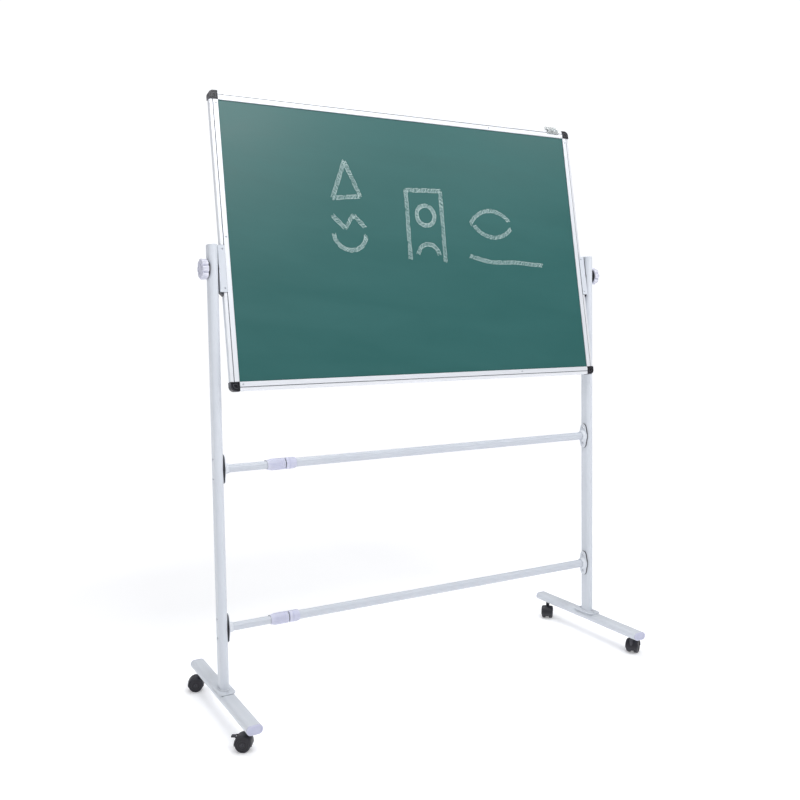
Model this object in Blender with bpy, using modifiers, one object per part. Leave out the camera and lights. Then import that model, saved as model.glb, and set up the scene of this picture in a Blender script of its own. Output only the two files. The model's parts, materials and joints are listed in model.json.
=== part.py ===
"""A mobile revolving chalkboard on a steel stand with four castors.

Metres, +Z up. The origin is on the floor under the middle of the stand, +X runs
along the board to its right and -Y is the side that the chalk face looks at.
The board hangs between two uprights on a pair of studs, leans back at rest, and
turns all the way round once its two side knobs are loosened.
"""

import math

import bmesh
import bpy
from mathutils import Matrix, Vector

# Clearances between pieces that touch or run in each other.
GAP = 0.0003
RUNNING_GAP = 0.0006

# Stand: two flat-oval uprights on flat-oval feet, tied by two telescopic crossbars.
UPRIGHT_SPACING = 1.246
UPRIGHT_WIDTH = 0.024
UPRIGHT_DEPTH = 0.042
UPRIGHT_TOP = 1.254
TUBE_WALL = 0.0015
FOOT_WIDTH = 0.042
FOOT_HEIGHT = 0.024
FOOT_BOTTOM = 0.054
FOOT_LENGTH = 0.500
FOOT_CAP_LIP = 0.004
FOOT_CAP_PLUG = 0.012
FOOT_CAP_ROUNDING = 0.0012
BASE_PLATE_WIDTH = 0.044
BASE_PLATE_LENGTH = 0.090
BASE_PLATE_CORNER = 0.014
BASE_PLATE_THICKNESS = 0.003

# Crossbars: a thin tube on the left slides in a thicker one on the right.
CROSSBAR_HEIGHTS = {"lower": 0.243, "upper": 0.668}
THIN_RADIUS = 0.011
THICK_RADIUS = 0.0125
CROSSBAR_WALL = 0.0012
SLEEVE_START = -0.4885
SLEEVE_END = -0.4385
COLLAR_START = -0.4355
COLLAR_END = -0.406
COLLAR_RADIUS = 0.016
THIN_TUBE_END = -0.300
FLANGE_THICKNESS = 0.005
FLANGE_MIDDLE_RADIUS = 0.019
FLANGE_END_RADIUS = 0.013
FLANGE_SCREW_SPACING = 0.052
FLANGE_EDGE_ROUNDING = 0.001
FLANGE_BOSS_REACH = 0.014
FLANGE_BOSS_WALL = 0.0025
FLANGE_FILLET = 0.005
FLANGE_FILLET_DROP = 0.0045
SLEEVE_MOUTH_RADIUS = 0.0128
SLEEVE_SHOULDER_RADIUS = 0.0154
SLEEVE_SHOULDER = 0.010
SLEEVE_BODY = 0.014
LOCK_CHAMFER = 0.0012

# Board: a sandwich panel in an aluminium frame with plastic corner caps.
BOARD_WIDTH = 1.200
BOARD_HEIGHT = 0.800
BOARD_CENTRE_ABOVE_PIVOT = 0.080
BOARD_LEAN = math.radians(9.3)
RAIL_FACE = 0.024
RAIL_HALF_DEPTH = 0.010
RAIL_SLOT_FLOOR = 0.008
PANEL_HALF_DEPTH = 0.006
SHEET_THICKNESS = 0.0005
WRITING_FIELD_STEP = 0.0002
WRITING_FIELD_MARGIN = 0.0005
CAP_PROUD = 0.001
CAP_CORNER_RADIUS = 0.014
CAP_EDGE_ROUNDING = 0.0014
# One half of a rail's section: inwards from the outer edge, then outwards from the
# middle of the board. A bevelled band, a groove, and a flat band up to the panel lip.
RAIL_HALF_SECTION = [
    (0.0, 0.0065),
    (0.0015, 0.0085),
    (0.0090, 0.0092),
    (0.0095, 0.0080),
    (0.0103, 0.0080),
    (0.0108, RAIL_HALF_DEPTH),
    (RAIL_FACE - 0.0006, RAIL_HALF_DEPTH),
    (RAIL_FACE, RAIL_HALF_DEPTH - 0.0006),
]
RAIL_CHAMBER = (0.0018, 0.0062, -0.0050, 0.0050)

# Pivot: a stud on each side bracket runs through the upright into a clamp knob.
PIVOT_HEIGHT = 1.190
BRACKET_LENGTH = 0.124
BRACKET_SHEET = 0.0022
BRACKET_STAND_OFF = 0.0066
BRACKET_FLANGE = 0.010
BRACKET_BEND = 0.0015
STUD_RADIUS = 0.004
STUD_HEAD_RADIUS = 0.009
STUD_HEAD_THICKNESS = 0.003
SPACER_RADIUS = 0.013
WASHER_RADIUS = 0.022
WASHER_THICKNESS = 0.003
KNOB_RADIUS = 0.0255
KNOB_LOBE_DEPTH = 0.0015
KNOB_LOBES = 8
KNOB_THICKNESS = 0.0164
KNOB_ROUNDING = 0.0016
KNOB_BLIND_END = 0.005

# Clear plastic clip on the top rail.
CLIP_WIDTH = 0.0445
CLIP_MIDDLE = 0.5378
CLIP_LEG = 0.014
CLIP_FIN = 0.013
CLIP_SHEET = 0.0014
CLIP_FIN_HALF = 0.001

# Castors: twin wheels under a hood that trails behind its stem.
CASTOR_Y = 0.211
CASTOR_TRAIL = 0.016
CASTOR_HEADINGS = {
    "front_left": math.radians(149),
    "front_right": math.radians(31),
    "rear_left": math.radians(160),
    "rear_right": math.radians(226),
}
WHEEL_RADIUS = 0.020
WHEEL_WIDTH = 0.0124
WEB_THICKNESS = 0.0104
AXLE_RADIUS = 0.0032
AXLE_INSET = 0.003
# Half of a wheel's section, (radius, distance inwards from its outer side).
WHEEL_OUTER_SECTION = [
    (0.0068, 0.0010),
    (0.0080, 0.0020),
    (0.0152, 0.0011),
    (0.0164, 0.0),
    (0.0190, 0.0014),
    (WHEEL_RADIUS, 0.0042),
]
WHEEL_INNER_CHAMFER = 0.0013
STEM_RADIUS = 0.003
STEM_NUT_RADIUS = 0.0062
STEM_BOTTOM = 0.032
STEM_TOP = 0.072
NECK_RADIUS = 0.0060
NECK_BOTTOM = 0.024
NECK_TOP = 0.0485
HOOD_INNER_RADIUS = 0.0211
HOOD_OUTER_RADIUS = 0.0229
HOOD_HALF_WIDTH = 0.0184
HOOD_DROOP = 8
WEB_RADIUS = 0.0220
WEB_DROOP = 4
WEB_FOOT_DROP = 0.0100
WEB_FOOT_HALF = 0.0120
LEVER_LENGTH = 0.0115
LEVER_WIDTH = 0.0120
LEVER_THICKNESS = 0.0038
LEVER_HEIGHT = 0.0365
LEVER_CLEARANCE = 0.0030
LEVER_ROUNDING = 0.0010

SIDES = {"left": -1, "right": 1}
ROUND_STEPS = 24
ALONG_X = Matrix.Rotation(math.pi / 2, 4, "Y")
ALONG_Y = Matrix.Rotation(-math.pi / 2, 4, "X")

# name: (colour, roughness, metallic)
FINISHES = {
    "white_powder_coat": ((0.72, 0.76, 0.82), 0.35, 0.0),
    "anodised_aluminium": ((0.84, 0.85, 0.88), 0.28, 1.0),
    "black_plastic": ((0.012, 0.012, 0.016), 0.35, 0.0),
    "lilac_plastic": ((0.60, 0.61, 0.76), 0.40, 0.0),
    "white_plastic": ((0.78, 0.78, 0.86), 0.35, 0.0),
    "green_chalk_enamel": ((0.055, 0.155, 0.145), 0.55, 0.0),
    "honeycomb_card": ((0.46, 0.34, 0.20), 0.80, 0.0),
    "zinc_plated_steel": ((0.62, 0.62, 0.64), 0.30, 1.0),
    "black_nylon": ((0.020, 0.020, 0.026), 0.45, 0.0),
    "clear_plastic": ((0.82, 0.86, 0.86), 0.10, 0.0),
}


# Scene, collections and materials


def clear_scene():
    """Removes every object of the open scene."""
    for obj in list(bpy.data.objects):
        bpy.data.objects.remove(obj, do_unlink=True)


def make_collection(name):
    """A new collection linked to the scene."""
    collection = bpy.data.collections.new(name)
    bpy.context.scene.collection.children.link(collection)
    return collection


def make_material(name):
    """The Principled material of one finish."""
    colour, roughness, metallic = FINISHES[name]
    material = bpy.data.materials.new(name)
    material.use_nodes = True
    shader = material.node_tree.nodes["Principled BSDF"]
    shader.inputs["Base Color"].default_value = (*colour, 1.0)
    shader.inputs["Roughness"].default_value = roughness
    shader.inputs["Metallic"].default_value = metallic
    return material


def place(obj, finish, matrix=None, parent=None):
    """Puts a finished object in the chalkboard's collection, dressed and in place."""
    PARTS.objects.link(obj)
    obj.data.materials.clear()
    obj.data.materials.append(make_material(finish))
    obj.parent = parent
    obj.matrix_local = matrix or Matrix()
    obj.data.shade_smooth()
    obj.data.set_sharp_from_angle(angle=math.radians(35))
    return obj


def make_empty(name, matrix):
    """An empty on a joint's axis, which carries the pieces that move with it."""
    empty = bpy.data.objects.new(name, None)
    PARTS.objects.link(empty)
    empty.matrix_world = matrix
    return empty


# Outlines, in the plane of the shape


def arc(centre, radius, start, end, steps):
    """Points along an arc, angles in degrees, both ends included."""
    angles = [math.radians(start + (end - start) * i / steps) for i in range(steps + 1)]
    return [(centre[0] + radius * math.cos(a), centre[1] + radius * math.sin(a)) for a in angles]


def flat_oval(width, depth, steps=6):
    """A flat oval with its round ends at the far ends of its depth."""
    radius = width / 2
    straight = depth / 2 - radius
    return arc((0, straight), radius, 0, 180, steps) + arc((0, -straight), radius, 180, 360, steps)


def rounded_rectangle(width, depth, radius, steps=4):
    """A rectangle with round corners, centred."""
    x, y = width / 2 - radius, depth / 2 - radius
    corners = [(x, y, 0), (-x, y, 90), (-x, -y, 180), (x, -y, 270)]
    return [p for cx, cy, a in corners for p in arc((cx, cy), radius, a, a + 90, steps)]


def rectangle(left, right, bottom, top):
    """A plain rectangle."""
    return [(left, bottom), (right, bottom), (right, top), (left, top)]


def two_screw_flange():
    """A round middle drawn out to a small lobe at each screw, joined by tangents."""
    offset = FLANGE_SCREW_SPACING / 2
    lean = math.degrees(math.acos((FLANGE_MIDDLE_RADIUS - FLANGE_END_RADIUS) / offset))
    side = arc((0, 0), FLANGE_MIDDLE_RADIUS, lean - 90, 90 - lean, 5)
    end = arc((0, offset), FLANGE_END_RADIUS, 90 - lean, 90 + lean, 5)
    half = side + end
    return half + [(-x, -y) for x, y in half]


def knob_outline():
    """Eight shallow lobes round a circle."""
    count = KNOB_LOBES * 4
    points = []
    for i in range(count):
        angle = 2 * math.pi * i / count
        radius = KNOB_RADIUS + KNOB_LOBE_DEPTH * math.cos(KNOB_LOBES * angle)
        points.append((radius * math.cos(angle), radius * math.sin(angle)))
    return points


def rail_outline():
    """The frame extrusion: x inwards from the outer edge, y through the board."""
    slot = PANEL_HALF_DEPTH + WRITING_FIELD_STEP + GAP
    half = RAIL_HALF_SECTION + [(RAIL_FACE, slot), (RAIL_SLOT_FLOOR, slot)]
    return half + [(x, -y) for x, y in reversed(half)]


# Solids


def extruded(name, outlines, thickness):
    """A mesh object from flat outlines, thickness centred on its plane.

    The first outline is the outside and any others are holes.
    """
    curve = bpy.data.curves.new(name, "CURVE")
    curve.dimensions = "2D"
    curve.fill_mode = "BOTH"
    curve.extrude = thickness / 2
    for outline in outlines:
        spline = curve.splines.new("POLY")
        spline.points.add(len(outline) - 1)
        for point, (x, y) in zip(spline.points, outline):
            point.co = (x, y, 0, 1)
        spline.use_cyclic_u = True
    source = bpy.data.objects.new(name + "_outline", curve)
    bpy.context.scene.collection.objects.link(source)
    graph = bpy.context.evaluated_depsgraph_get()
    mesh = bpy.data.meshes.new_from_object(source.evaluated_get(graph))
    bpy.data.objects.remove(source)
    shape = bmesh.new()
    shape.from_mesh(mesh)
    bmesh.ops.remove_doubles(shape, verts=shape.verts, dist=1e-6)
    bmesh.ops.recalc_face_normals(shape, faces=shape.faces)
    shape.to_mesh(mesh)
    shape.free()
    mesh.name = name
    return bpy.data.objects.new(name, mesh)


def turned(name, profile, closed=False, steps=ROUND_STEPS):
    """A profile of (radius, height) points turned round Z, outer side downwards."""
    shape = bmesh.new()
    points = [shape.verts.new((radius, 0, height)) for radius, height in profile]
    for start, end in zip(points, points[1:] + points[:1] if closed else points[1:]):
        shape.edges.new((start, end))
    mesh = bpy.data.meshes.new(name)
    shape.to_mesh(mesh)
    shape.free()
    obj = bpy.data.objects.new(name, mesh)
    screw = obj.modifiers.new("turn", "SCREW")
    screw.axis = "Z"
    screw.steps = screw.render_steps = steps
    screw.use_merge_vertices = True
    screw.merge_threshold = 1e-5
    return obj


def ring(name, outer, inner, bottom, top, steps=ROUND_STEPS):
    """A plain tube or washer round Z."""
    profile = [(outer, top), (outer, bottom), (inner, bottom), (inner, top)]
    return turned(name, profile, closed=True, steps=steps)


def rod(name, radius, bottom, top, steps=ROUND_STEPS):
    """A plain cylinder round Z."""
    return turned(name, [(0, top), (radius, top), (radius, bottom), (0, bottom)], steps=steps)


def block(name, low, high):
    """A box between two corners."""
    shape = bmesh.new()
    bmesh.ops.create_cube(shape, size=1)
    size = Vector(high) - Vector(low)
    bmesh.ops.scale(shape, vec=size, verts=shape.verts)
    bmesh.ops.translate(shape, vec=Vector(low) + size / 2, verts=shape.verts)
    mesh = bpy.data.meshes.new(name)
    shape.to_mesh(mesh)
    shape.free()
    return bpy.data.objects.new(name, mesh)


def round_edges(obj, width, segments=2):
    """Rounds every edge sharper than 40 degrees."""
    bevel = obj.modifiers.new("rounding", "BEVEL")
    bevel.width = width
    bevel.segments = segments
    bevel.limit_method = "ANGLE"
    bevel.angle_limit = math.radians(40)


def combine(obj, tool, operation, matrix=None):
    """Joins a hidden tool to an object, or cuts it away, in the object's own space."""
    TOOLS.objects.link(tool)
    tool.parent = obj
    tool.matrix_local = matrix or Matrix()
    tool.hide_render = True
    tool.display_type = "WIRE"
    boolean = obj.modifiers.new(tool.name, "BOOLEAN")
    boolean.operation = operation
    boolean.solver = "EXACT"
    boolean.object = tool


# The stand


def make_upright(side, sign):
    """A flat-oval tube, closed at the top and welded to an oval base plate."""
    bottom = FOOT_BOTTOM + FOOT_HEIGHT + GAP
    height = UPRIGHT_TOP - bottom
    name = f"{side}_upright"
    upright = extruded(name, [flat_oval(UPRIGHT_WIDTH, UPRIGHT_DEPTH)], height)
    plate_outline = rounded_rectangle(BASE_PLATE_WIDTH, BASE_PLATE_LENGTH, BASE_PLATE_CORNER)
    plate = extruded(f"{name}_plate", [plate_outline], BASE_PLATE_THICKNESS)
    plate_centre = (BASE_PLATE_THICKNESS - height) / 2
    combine(upright, plate, "UNION", Matrix.Translation((0, 0, plate_centre)))
    inside = flat_oval(UPRIGHT_WIDTH - 2 * TUBE_WALL, UPRIGHT_DEPTH - 2 * TUBE_WALL)
    bore = extruded(f"{name}_bore", [inside], height)
    combine(upright, bore, "DIFFERENCE", Matrix.Translation((0, 0, -2 * TUBE_WALL)))
    hole = rod(f"{name}_stud_hole", STUD_RADIUS + RUNNING_GAP, -UPRIGHT_WIDTH, UPRIGHT_WIDTH, 16)
    hole_height = PIVOT_HEIGHT - (UPRIGHT_TOP + bottom) / 2
    combine(upright, hole, "DIFFERENCE", Matrix.Translation((0, 0, hole_height)) @ ALONG_X)
    middle = (sign * UPRIGHT_SPACING / 2, 0, (UPRIGHT_TOP + bottom) / 2)
    place(upright, "white_powder_coat", Matrix.Translation(middle))


def make_foot(side, sign):
    """A flat-oval tube lying along Y, drilled underneath for the castor stems."""
    name = f"{side}_foot"
    outlines = [
        flat_oval(FOOT_HEIGHT, FOOT_WIDTH),
        flat_oval(FOOT_HEIGHT - 2 * TUBE_WALL, FOOT_WIDTH - 2 * TUBE_WALL),
    ]
    length = FOOT_LENGTH - 2 * (FOOT_CAP_LIP + GAP)
    foot = extruded(name, outlines, length)
    turn = Matrix.Rotation(math.pi / 2, 4, "X") @ Matrix.Rotation(math.pi / 2, 4, "Z")
    foot.data.transform(turn)
    for end, y in (("front", -CASTOR_Y), ("rear", CASTOR_Y)):
        hole = rod(f"{name}_{end}_hole", STEM_RADIUS + RUNNING_GAP, -FOOT_HEIGHT, 0, 16)
        combine(foot, hole, "DIFFERENCE", Matrix.Translation((0, y, 0)))
    middle = (sign * UPRIGHT_SPACING / 2, 0, FOOT_BOTTOM + FOOT_HEIGHT / 2)
    place(foot, "white_powder_coat", Matrix.Translation(middle))


def make_foot_cap(side, sign, end, facing):
    """An oval lip that covers the tube's end, with a plug that fits inside it."""
    cap = extruded(f"{side}_foot_{end}_cap", [flat_oval(FOOT_HEIGHT, FOOT_WIDTH)], FOOT_CAP_LIP)
    round_edges(cap, FOOT_CAP_ROUNDING)
    inset = 2 * (TUBE_WALL + GAP)
    plug_outline = flat_oval(FOOT_HEIGHT - inset, FOOT_WIDTH - inset)
    plug = extruded(f"{cap.name}_plug", [plug_outline], FOOT_CAP_PLUG + FOOT_CAP_LIP / 2)
    plug_centre = -(FOOT_CAP_PLUG + FOOT_CAP_LIP / 2) / 2
    combine(cap, plug, "UNION", Matrix.Translation((0, 0, plug_centre)))
    place_at = Matrix.Translation(
        (
            sign * UPRIGHT_SPACING / 2,
            facing * (FOOT_LENGTH - FOOT_CAP_LIP) / 2,
            FOOT_BOTTOM + FOOT_HEIGHT / 2,
        )
    )
    outwards = Matrix.Rotation(-facing * math.pi / 2, 4, "X")
    place(cap, "lilac_plastic", place_at @ outwards @ Matrix.Rotation(math.pi / 2, 4, "Z"))


def make_flange(level, side, sign, tube_radius):
    """A two-screw flange on the upright's inner side, blended into the tube's socket."""
    flange = extruded(f"{level}_{side}_flange", [two_screw_flange()], FLANGE_THICKNESS)
    round_edges(flange, FLANGE_EDGE_ROUNDING)
    wall = tube_radius + FLANGE_BOSS_WALL
    fillet_height = FLANGE_BOSS_REACH - FLANGE_FILLET_DROP
    fillet = arc((wall + FLANGE_FILLET, fillet_height), FLANGE_FILLET, 180, 262, 3)
    boss_profile = [(0, FLANGE_BOSS_REACH), (wall, FLANGE_BOSS_REACH), *fillet]
    boss_profile += [(fillet[-1][0], 0), (0, 0)]
    boss = turned(f"{flange.name}_boss", boss_profile, steps=16)
    combine(flange, boss, "UNION")
    reach = 2 * FLANGE_BOSS_REACH
    bore = rod(f"{flange.name}_bore", tube_radius + GAP, -reach, reach, 16)
    combine(flange, bore, "DIFFERENCE")
    inner_face = UPRIGHT_SPACING / 2 - UPRIGHT_WIDTH / 2 - GAP
    centre = (sign * (inner_face - FLANGE_THICKNESS / 2), 0, CROSSBAR_HEIGHTS[level])
    inwards = Matrix.Rotation(-sign * math.pi / 2, 4, "Y") @ Matrix.Rotation(math.pi / 2, 4, "Z")
    place(flange, "white_powder_coat", Matrix.Translation(centre) @ inwards)


def make_crossbar(level):
    """Two telescoping tubes, and the twist lock where the thin one enters the thick one."""
    on_axis = Matrix.Translation((0, 0, CROSSBAR_HEIGHTS[level])) @ ALONG_X
    tube_end = UPRIGHT_SPACING / 2 - UPRIGHT_WIDTH / 2 - 2 * GAP
    thin = ring(
        f"{level}_thin_tube", THIN_RADIUS, THIN_RADIUS - CROSSBAR_WALL, -tube_end, THIN_TUBE_END
    )
    place(thin, "white_powder_coat", on_axis)
    thick = ring(
        f"{level}_thick_tube", THICK_RADIUS, THICK_RADIUS - CROSSBAR_WALL, COLLAR_START, tube_end
    )
    place(thick, "white_powder_coat", on_axis)
    bore = THIN_RADIUS + RUNNING_GAP
    sleeve_profile = [
        (COLLAR_RADIUS - LOCK_CHAMFER, SLEEVE_END),
        (bore, SLEEVE_END),
        (bore, SLEEVE_START),
        (SLEEVE_MOUTH_RADIUS, SLEEVE_START),
        (SLEEVE_SHOULDER_RADIUS, SLEEVE_START + SLEEVE_SHOULDER),
        (COLLAR_RADIUS, SLEEVE_START + SLEEVE_BODY),
        (COLLAR_RADIUS, SLEEVE_END - LOCK_CHAMFER),
    ]
    sleeve = turned(f"{level}_lock_sleeve", sleeve_profile[::-1], closed=True)
    flip_if_inside_out(sleeve, sleeve_profile[::-1])
    place(sleeve, "lilac_plastic", on_axis)
    bore = THICK_RADIUS + GAP
    collar_profile = [
        (COLLAR_RADIUS - LOCK_CHAMFER, COLLAR_START),
        (bore, COLLAR_START),
        (bore, COLLAR_END),
        (COLLAR_RADIUS - LOCK_CHAMFER, COLLAR_END),
        (COLLAR_RADIUS, COLLAR_END - 2 * LOCK_CHAMFER),
        (COLLAR_RADIUS, COLLAR_START + LOCK_CHAMFER),
    ]
    collar = turned(f"{level}_lock_collar", collar_profile, closed=True)
    flip_if_inside_out(collar, collar_profile)
    place(collar, "lilac_plastic", on_axis)


def flip_if_inside_out(obj, profile):
    """Turns the Screw's faces outwards, whichever way round the closed profile runs."""
    following = profile[1:] + profile[:1]
    area = sum(r0 * h1 - r1 * h0 for (r0, h0), (r1, h1) in zip(profile, following))
    obj.modifiers["turn"].use_normal_flip = area > 0


# The board, in the space of its pivot empty


def make_rail(name, length, quarter_turns, reach, pivot):
    """One frame rail; quarter turns put its outer edge left, down, right or up."""
    rail = extruded(name, [rail_outline(), rectangle(*RAIL_CHAMBER)], length)
    centre = Matrix.Translation((0, 0, BOARD_CENTRE_ABOVE_PIVOT))
    turn = Matrix.Rotation(-quarter_turns * math.pi / 2, 4, "Y")
    place(rail, "anodised_aluminium", centre @ turn @ Matrix.Translation((-reach, 0, 0)), pivot)


def make_corner_cap(name, right, up, pivot):
    """A rounded plastic corner, slotted for the panel like the rails."""
    outer = -CAP_PROUD
    middle = outer + CAP_CORNER_RADIUS
    outline = [(RAIL_FACE, outer), (RAIL_FACE, RAIL_FACE), (outer, RAIL_FACE)]
    outline += arc((middle, middle), CAP_CORNER_RADIUS, 180, 270, 8)
    cap = extruded(name, [outline], 2 * (RAIL_HALF_DEPTH + CAP_PROUD))
    round_edges(cap, CAP_EDGE_ROUNDING)
    slot = PANEL_HALF_DEPTH + WRITING_FIELD_STEP + GAP
    slot_low = (RAIL_SLOT_FLOOR, RAIL_SLOT_FLOOR, -slot)
    slot_high = (2 * RAIL_FACE, 2 * RAIL_FACE, slot)
    combine(cap, block(f"{name}_slot", slot_low, slot_high), "DIFFERENCE")
    corner = Matrix.Translation(
        (right * BOARD_WIDTH / 2, 0, BOARD_CENTRE_ABOVE_PIVOT + up * BOARD_HEIGHT / 2)
    )
    quarter_turns = {(-1, -1): 0, (1, -1): 1, (1, 1): 2, (-1, 1): 3}[right, up]
    turn = Matrix.Rotation(-quarter_turns * math.pi / 2, 4, "Y")
    upright = Matrix.Rotation(math.pi / 2, 4, "X")
    place(cap, "black_plastic", corner @ turn @ upright, pivot)


def panel_layer(name, margin, start, end):
    """A slab that stops a margin short of the board's edge, between two depths."""
    half_width = BOARD_WIDTH / 2 - margin
    half_height = BOARD_HEIGHT / 2 - margin
    low = (-half_width, min(start, end), BOARD_CENTRE_ABOVE_PIVOT - half_height)
    high = (half_width, max(start, end), BOARD_CENTRE_ABOVE_PIVOT + half_height)
    return block(name, low, high)


def make_panel(pivot):
    """A honeycomb core between two chalk sheets.

    Each sheet's writing field stands a coat of enamel proud of the edges in the rails.
    """
    core_half = PANEL_HALF_DEPTH - SHEET_THICKNESS - GAP
    core = panel_layer("honeycomb_core", RAIL_SLOT_FLOOR + GAP, -core_half, core_half)
    place(core, "honeycomb_card", parent=pivot)
    for end, facing in (("front", -1), ("rear", 1)):
        name = f"{end}_chalk_sheet"
        back, front = facing * (core_half + GAP), facing * PANEL_HALF_DEPTH
        sheet = panel_layer(name, RAIL_SLOT_FLOOR + GAP, back, front)
        field_front = front + facing * WRITING_FIELD_STEP
        margin = RAIL_FACE + WRITING_FIELD_MARGIN
        field = panel_layer(f"{name}_field", margin, (back + front) / 2, field_front)
        combine(sheet, field, "UNION")
        place(sheet, "green_chalk_enamel", parent=pivot)


def make_bracket(side, sign, pivot):
    """A channel of bent sheet round the side rail, with room for the stud's head."""
    inner = RAIL_HALF_DEPTH + GAP
    outer = inner + BRACKET_SHEET
    back = -BRACKET_STAND_OFF - BRACKET_SHEET
    channel = [
        (BRACKET_FLANGE, -outer),
        (BRACKET_FLANGE, -inner),
        (-BRACKET_STAND_OFF, -inner),
        (-BRACKET_STAND_OFF, inner),
        (BRACKET_FLANGE, inner),
        (BRACKET_FLANGE, outer),
        (back + BRACKET_BEND, outer),
        (back, outer - BRACKET_BEND),
        (back, BRACKET_BEND - outer),
        (back + BRACKET_BEND, -outer),
    ]
    bracket = extruded(f"{side}_bracket", [channel], BRACKET_LENGTH)
    reach = 2 * BRACKET_STAND_OFF
    hole = rod(f"{side}_bracket_hole", STUD_RADIUS + GAP, -reach, -BRACKET_SHEET, 16)
    combine(bracket, hole, "DIFFERENCE", ALONG_X)
    facing = Matrix.Rotation(math.pi if sign > 0 else 0, 4, "Z")
    edge = Matrix.Translation((sign * BOARD_WIDTH / 2, 0, 0))
    place(bracket, "white_powder_coat", edge @ facing, pivot)


def make_top_clip(pivot):
    """A clear clip astride the top rail, with a fin that stands above it."""
    inner = RAIL_HALF_DEPTH + 2 * GAP
    outer = inner + CLIP_SHEET
    floor, roof = GAP, GAP + CLIP_SHEET
    half = [(outer, roof), (outer, -CLIP_LEG), (inner, -CLIP_LEG), (inner, floor)]
    fin = [(-CLIP_FIN_HALF, roof), (-CLIP_FIN_HALF, CLIP_FIN)]
    fin += [(CLIP_FIN_HALF, CLIP_FIN), (CLIP_FIN_HALF, roof)]
    outline = fin + half + [(-x, y) for x, y in reversed(half)]
    clip = extruded("top_clip", [outline], CLIP_WIDTH)
    upright = Matrix(((0, 0, 1, 0), (1, 0, 0, 0), (0, 1, 0, 0), (0, 0, 0, 1)))
    top = BOARD_CENTRE_ABOVE_PIVOT + BOARD_HEIGHT / 2
    place(clip, "clear_plastic", Matrix.Translation((CLIP_MIDDLE, 0, top)) @ upright, pivot)


def make_board():
    """Frame, panel, corner caps, brackets and clip, all leaning on the pivot."""
    lean = Matrix.Rotation(-BOARD_LEAN, 4, "X")
    pivot = make_empty("board_pivot", Matrix.Translation((0, 0, PIVOT_HEIGHT)) @ lean)
    side_length = BOARD_HEIGHT - 2 * (RAIL_FACE + GAP)
    long_length = BOARD_WIDTH - 2 * (RAIL_FACE + GAP)
    make_rail("left_rail", side_length, 0, BOARD_WIDTH / 2, pivot)
    make_rail("bottom_rail", long_length, 1, BOARD_HEIGHT / 2, pivot)
    make_rail("right_rail", side_length, 2, BOARD_WIDTH / 2, pivot)
    make_rail("top_rail", long_length, 3, BOARD_HEIGHT / 2, pivot)
    for side, right in SIDES.items():
        for level, up in (("bottom", -1), ("top", 1)):
            make_corner_cap(f"{level}_{side}_corner_cap", right, up, pivot)
        make_bracket(side, right, pivot)
    make_panel(pivot)
    make_top_clip(pivot)


# The pivots, whose pieces are turned along X and mirrored to the right by a half turn


def make_pivot(side, sign):
    """Stud, spacer, washer and clamp knob, from the bracket outwards."""
    outwards = Matrix.Translation((0, 0, PIVOT_HEIGHT)) @ Matrix.Rotation(sign * math.pi / 2, 4, "Y")
    bore = STUD_RADIUS + RUNNING_GAP
    head_end = BOARD_WIDTH / 2 + BRACKET_STAND_OFF - GAP
    head_start = head_end - STUD_HEAD_THICKNESS
    spacer_start = head_end + 2 * GAP + BRACKET_SHEET
    upright_inner = (UPRIGHT_SPACING - UPRIGHT_WIDTH) / 2
    washer_start = (UPRIGHT_SPACING + UPRIGHT_WIDTH) / 2 + GAP
    knob_start = washer_start + WASHER_THICKNESS + GAP
    stud_end = knob_start + KNOB_THICKNESS - KNOB_BLIND_END
    stud_profile = [
        (0, stud_end),
        (STUD_RADIUS, stud_end),
        (STUD_RADIUS, head_end),
        (STUD_HEAD_RADIUS, head_end),
        (STUD_HEAD_RADIUS, head_start),
        (0, head_start),
    ]
    place(turned(f"{side}_stud", stud_profile), "zinc_plated_steel", outwards)
    spacer = ring(f"{side}_spacer", SPACER_RADIUS, bore, spacer_start, upright_inner - GAP)
    place(spacer, "black_plastic", outwards)
    washer_end = washer_start + WASHER_THICKNESS
    washer = ring(f"{side}_washer", WASHER_RADIUS, bore, washer_start, washer_end)
    place(washer, "black_plastic", outwards)
    knob = extruded(f"{side}_knob", [knob_outline()], KNOB_THICKNESS)
    round_edges(knob, KNOB_ROUNDING)
    hole_end = stud_end + GAP - knob_start - KNOB_THICKNESS / 2
    hole = rod(f"{side}_knob_hole", STUD_RADIUS + GAP, -KNOB_THICKNESS, hole_end)
    combine(knob, hole, "DIFFERENCE")
    knob_middle = Matrix.Translation((0, 0, knob_start + KNOB_THICKNESS / 2))
    place(knob, "white_plastic", outwards @ knob_middle)


# The castors, each in the space of an empty on its stem's axis, trailing along +X


def make_stem(name, empty):
    """A steel pin with the nut that bears on the foot."""
    nut_top = FOOT_BOTTOM - GAP
    profile = [
        (0, STEM_TOP),
        (STEM_RADIUS, STEM_TOP),
        (STEM_RADIUS, nut_top),
        (STEM_NUT_RADIUS, nut_top),
        (STEM_NUT_RADIUS, NECK_TOP + RUNNING_GAP),
        (STEM_RADIUS, NECK_TOP + RUNNING_GAP),
        (STEM_RADIUS, STEM_BOTTOM),
        (0, STEM_BOTTOM),
    ]
    stem = turned(f"{name}_castor_stem", profile, steps=12)
    place(stem, "black_nylon", empty.matrix_world.copy())


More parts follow.
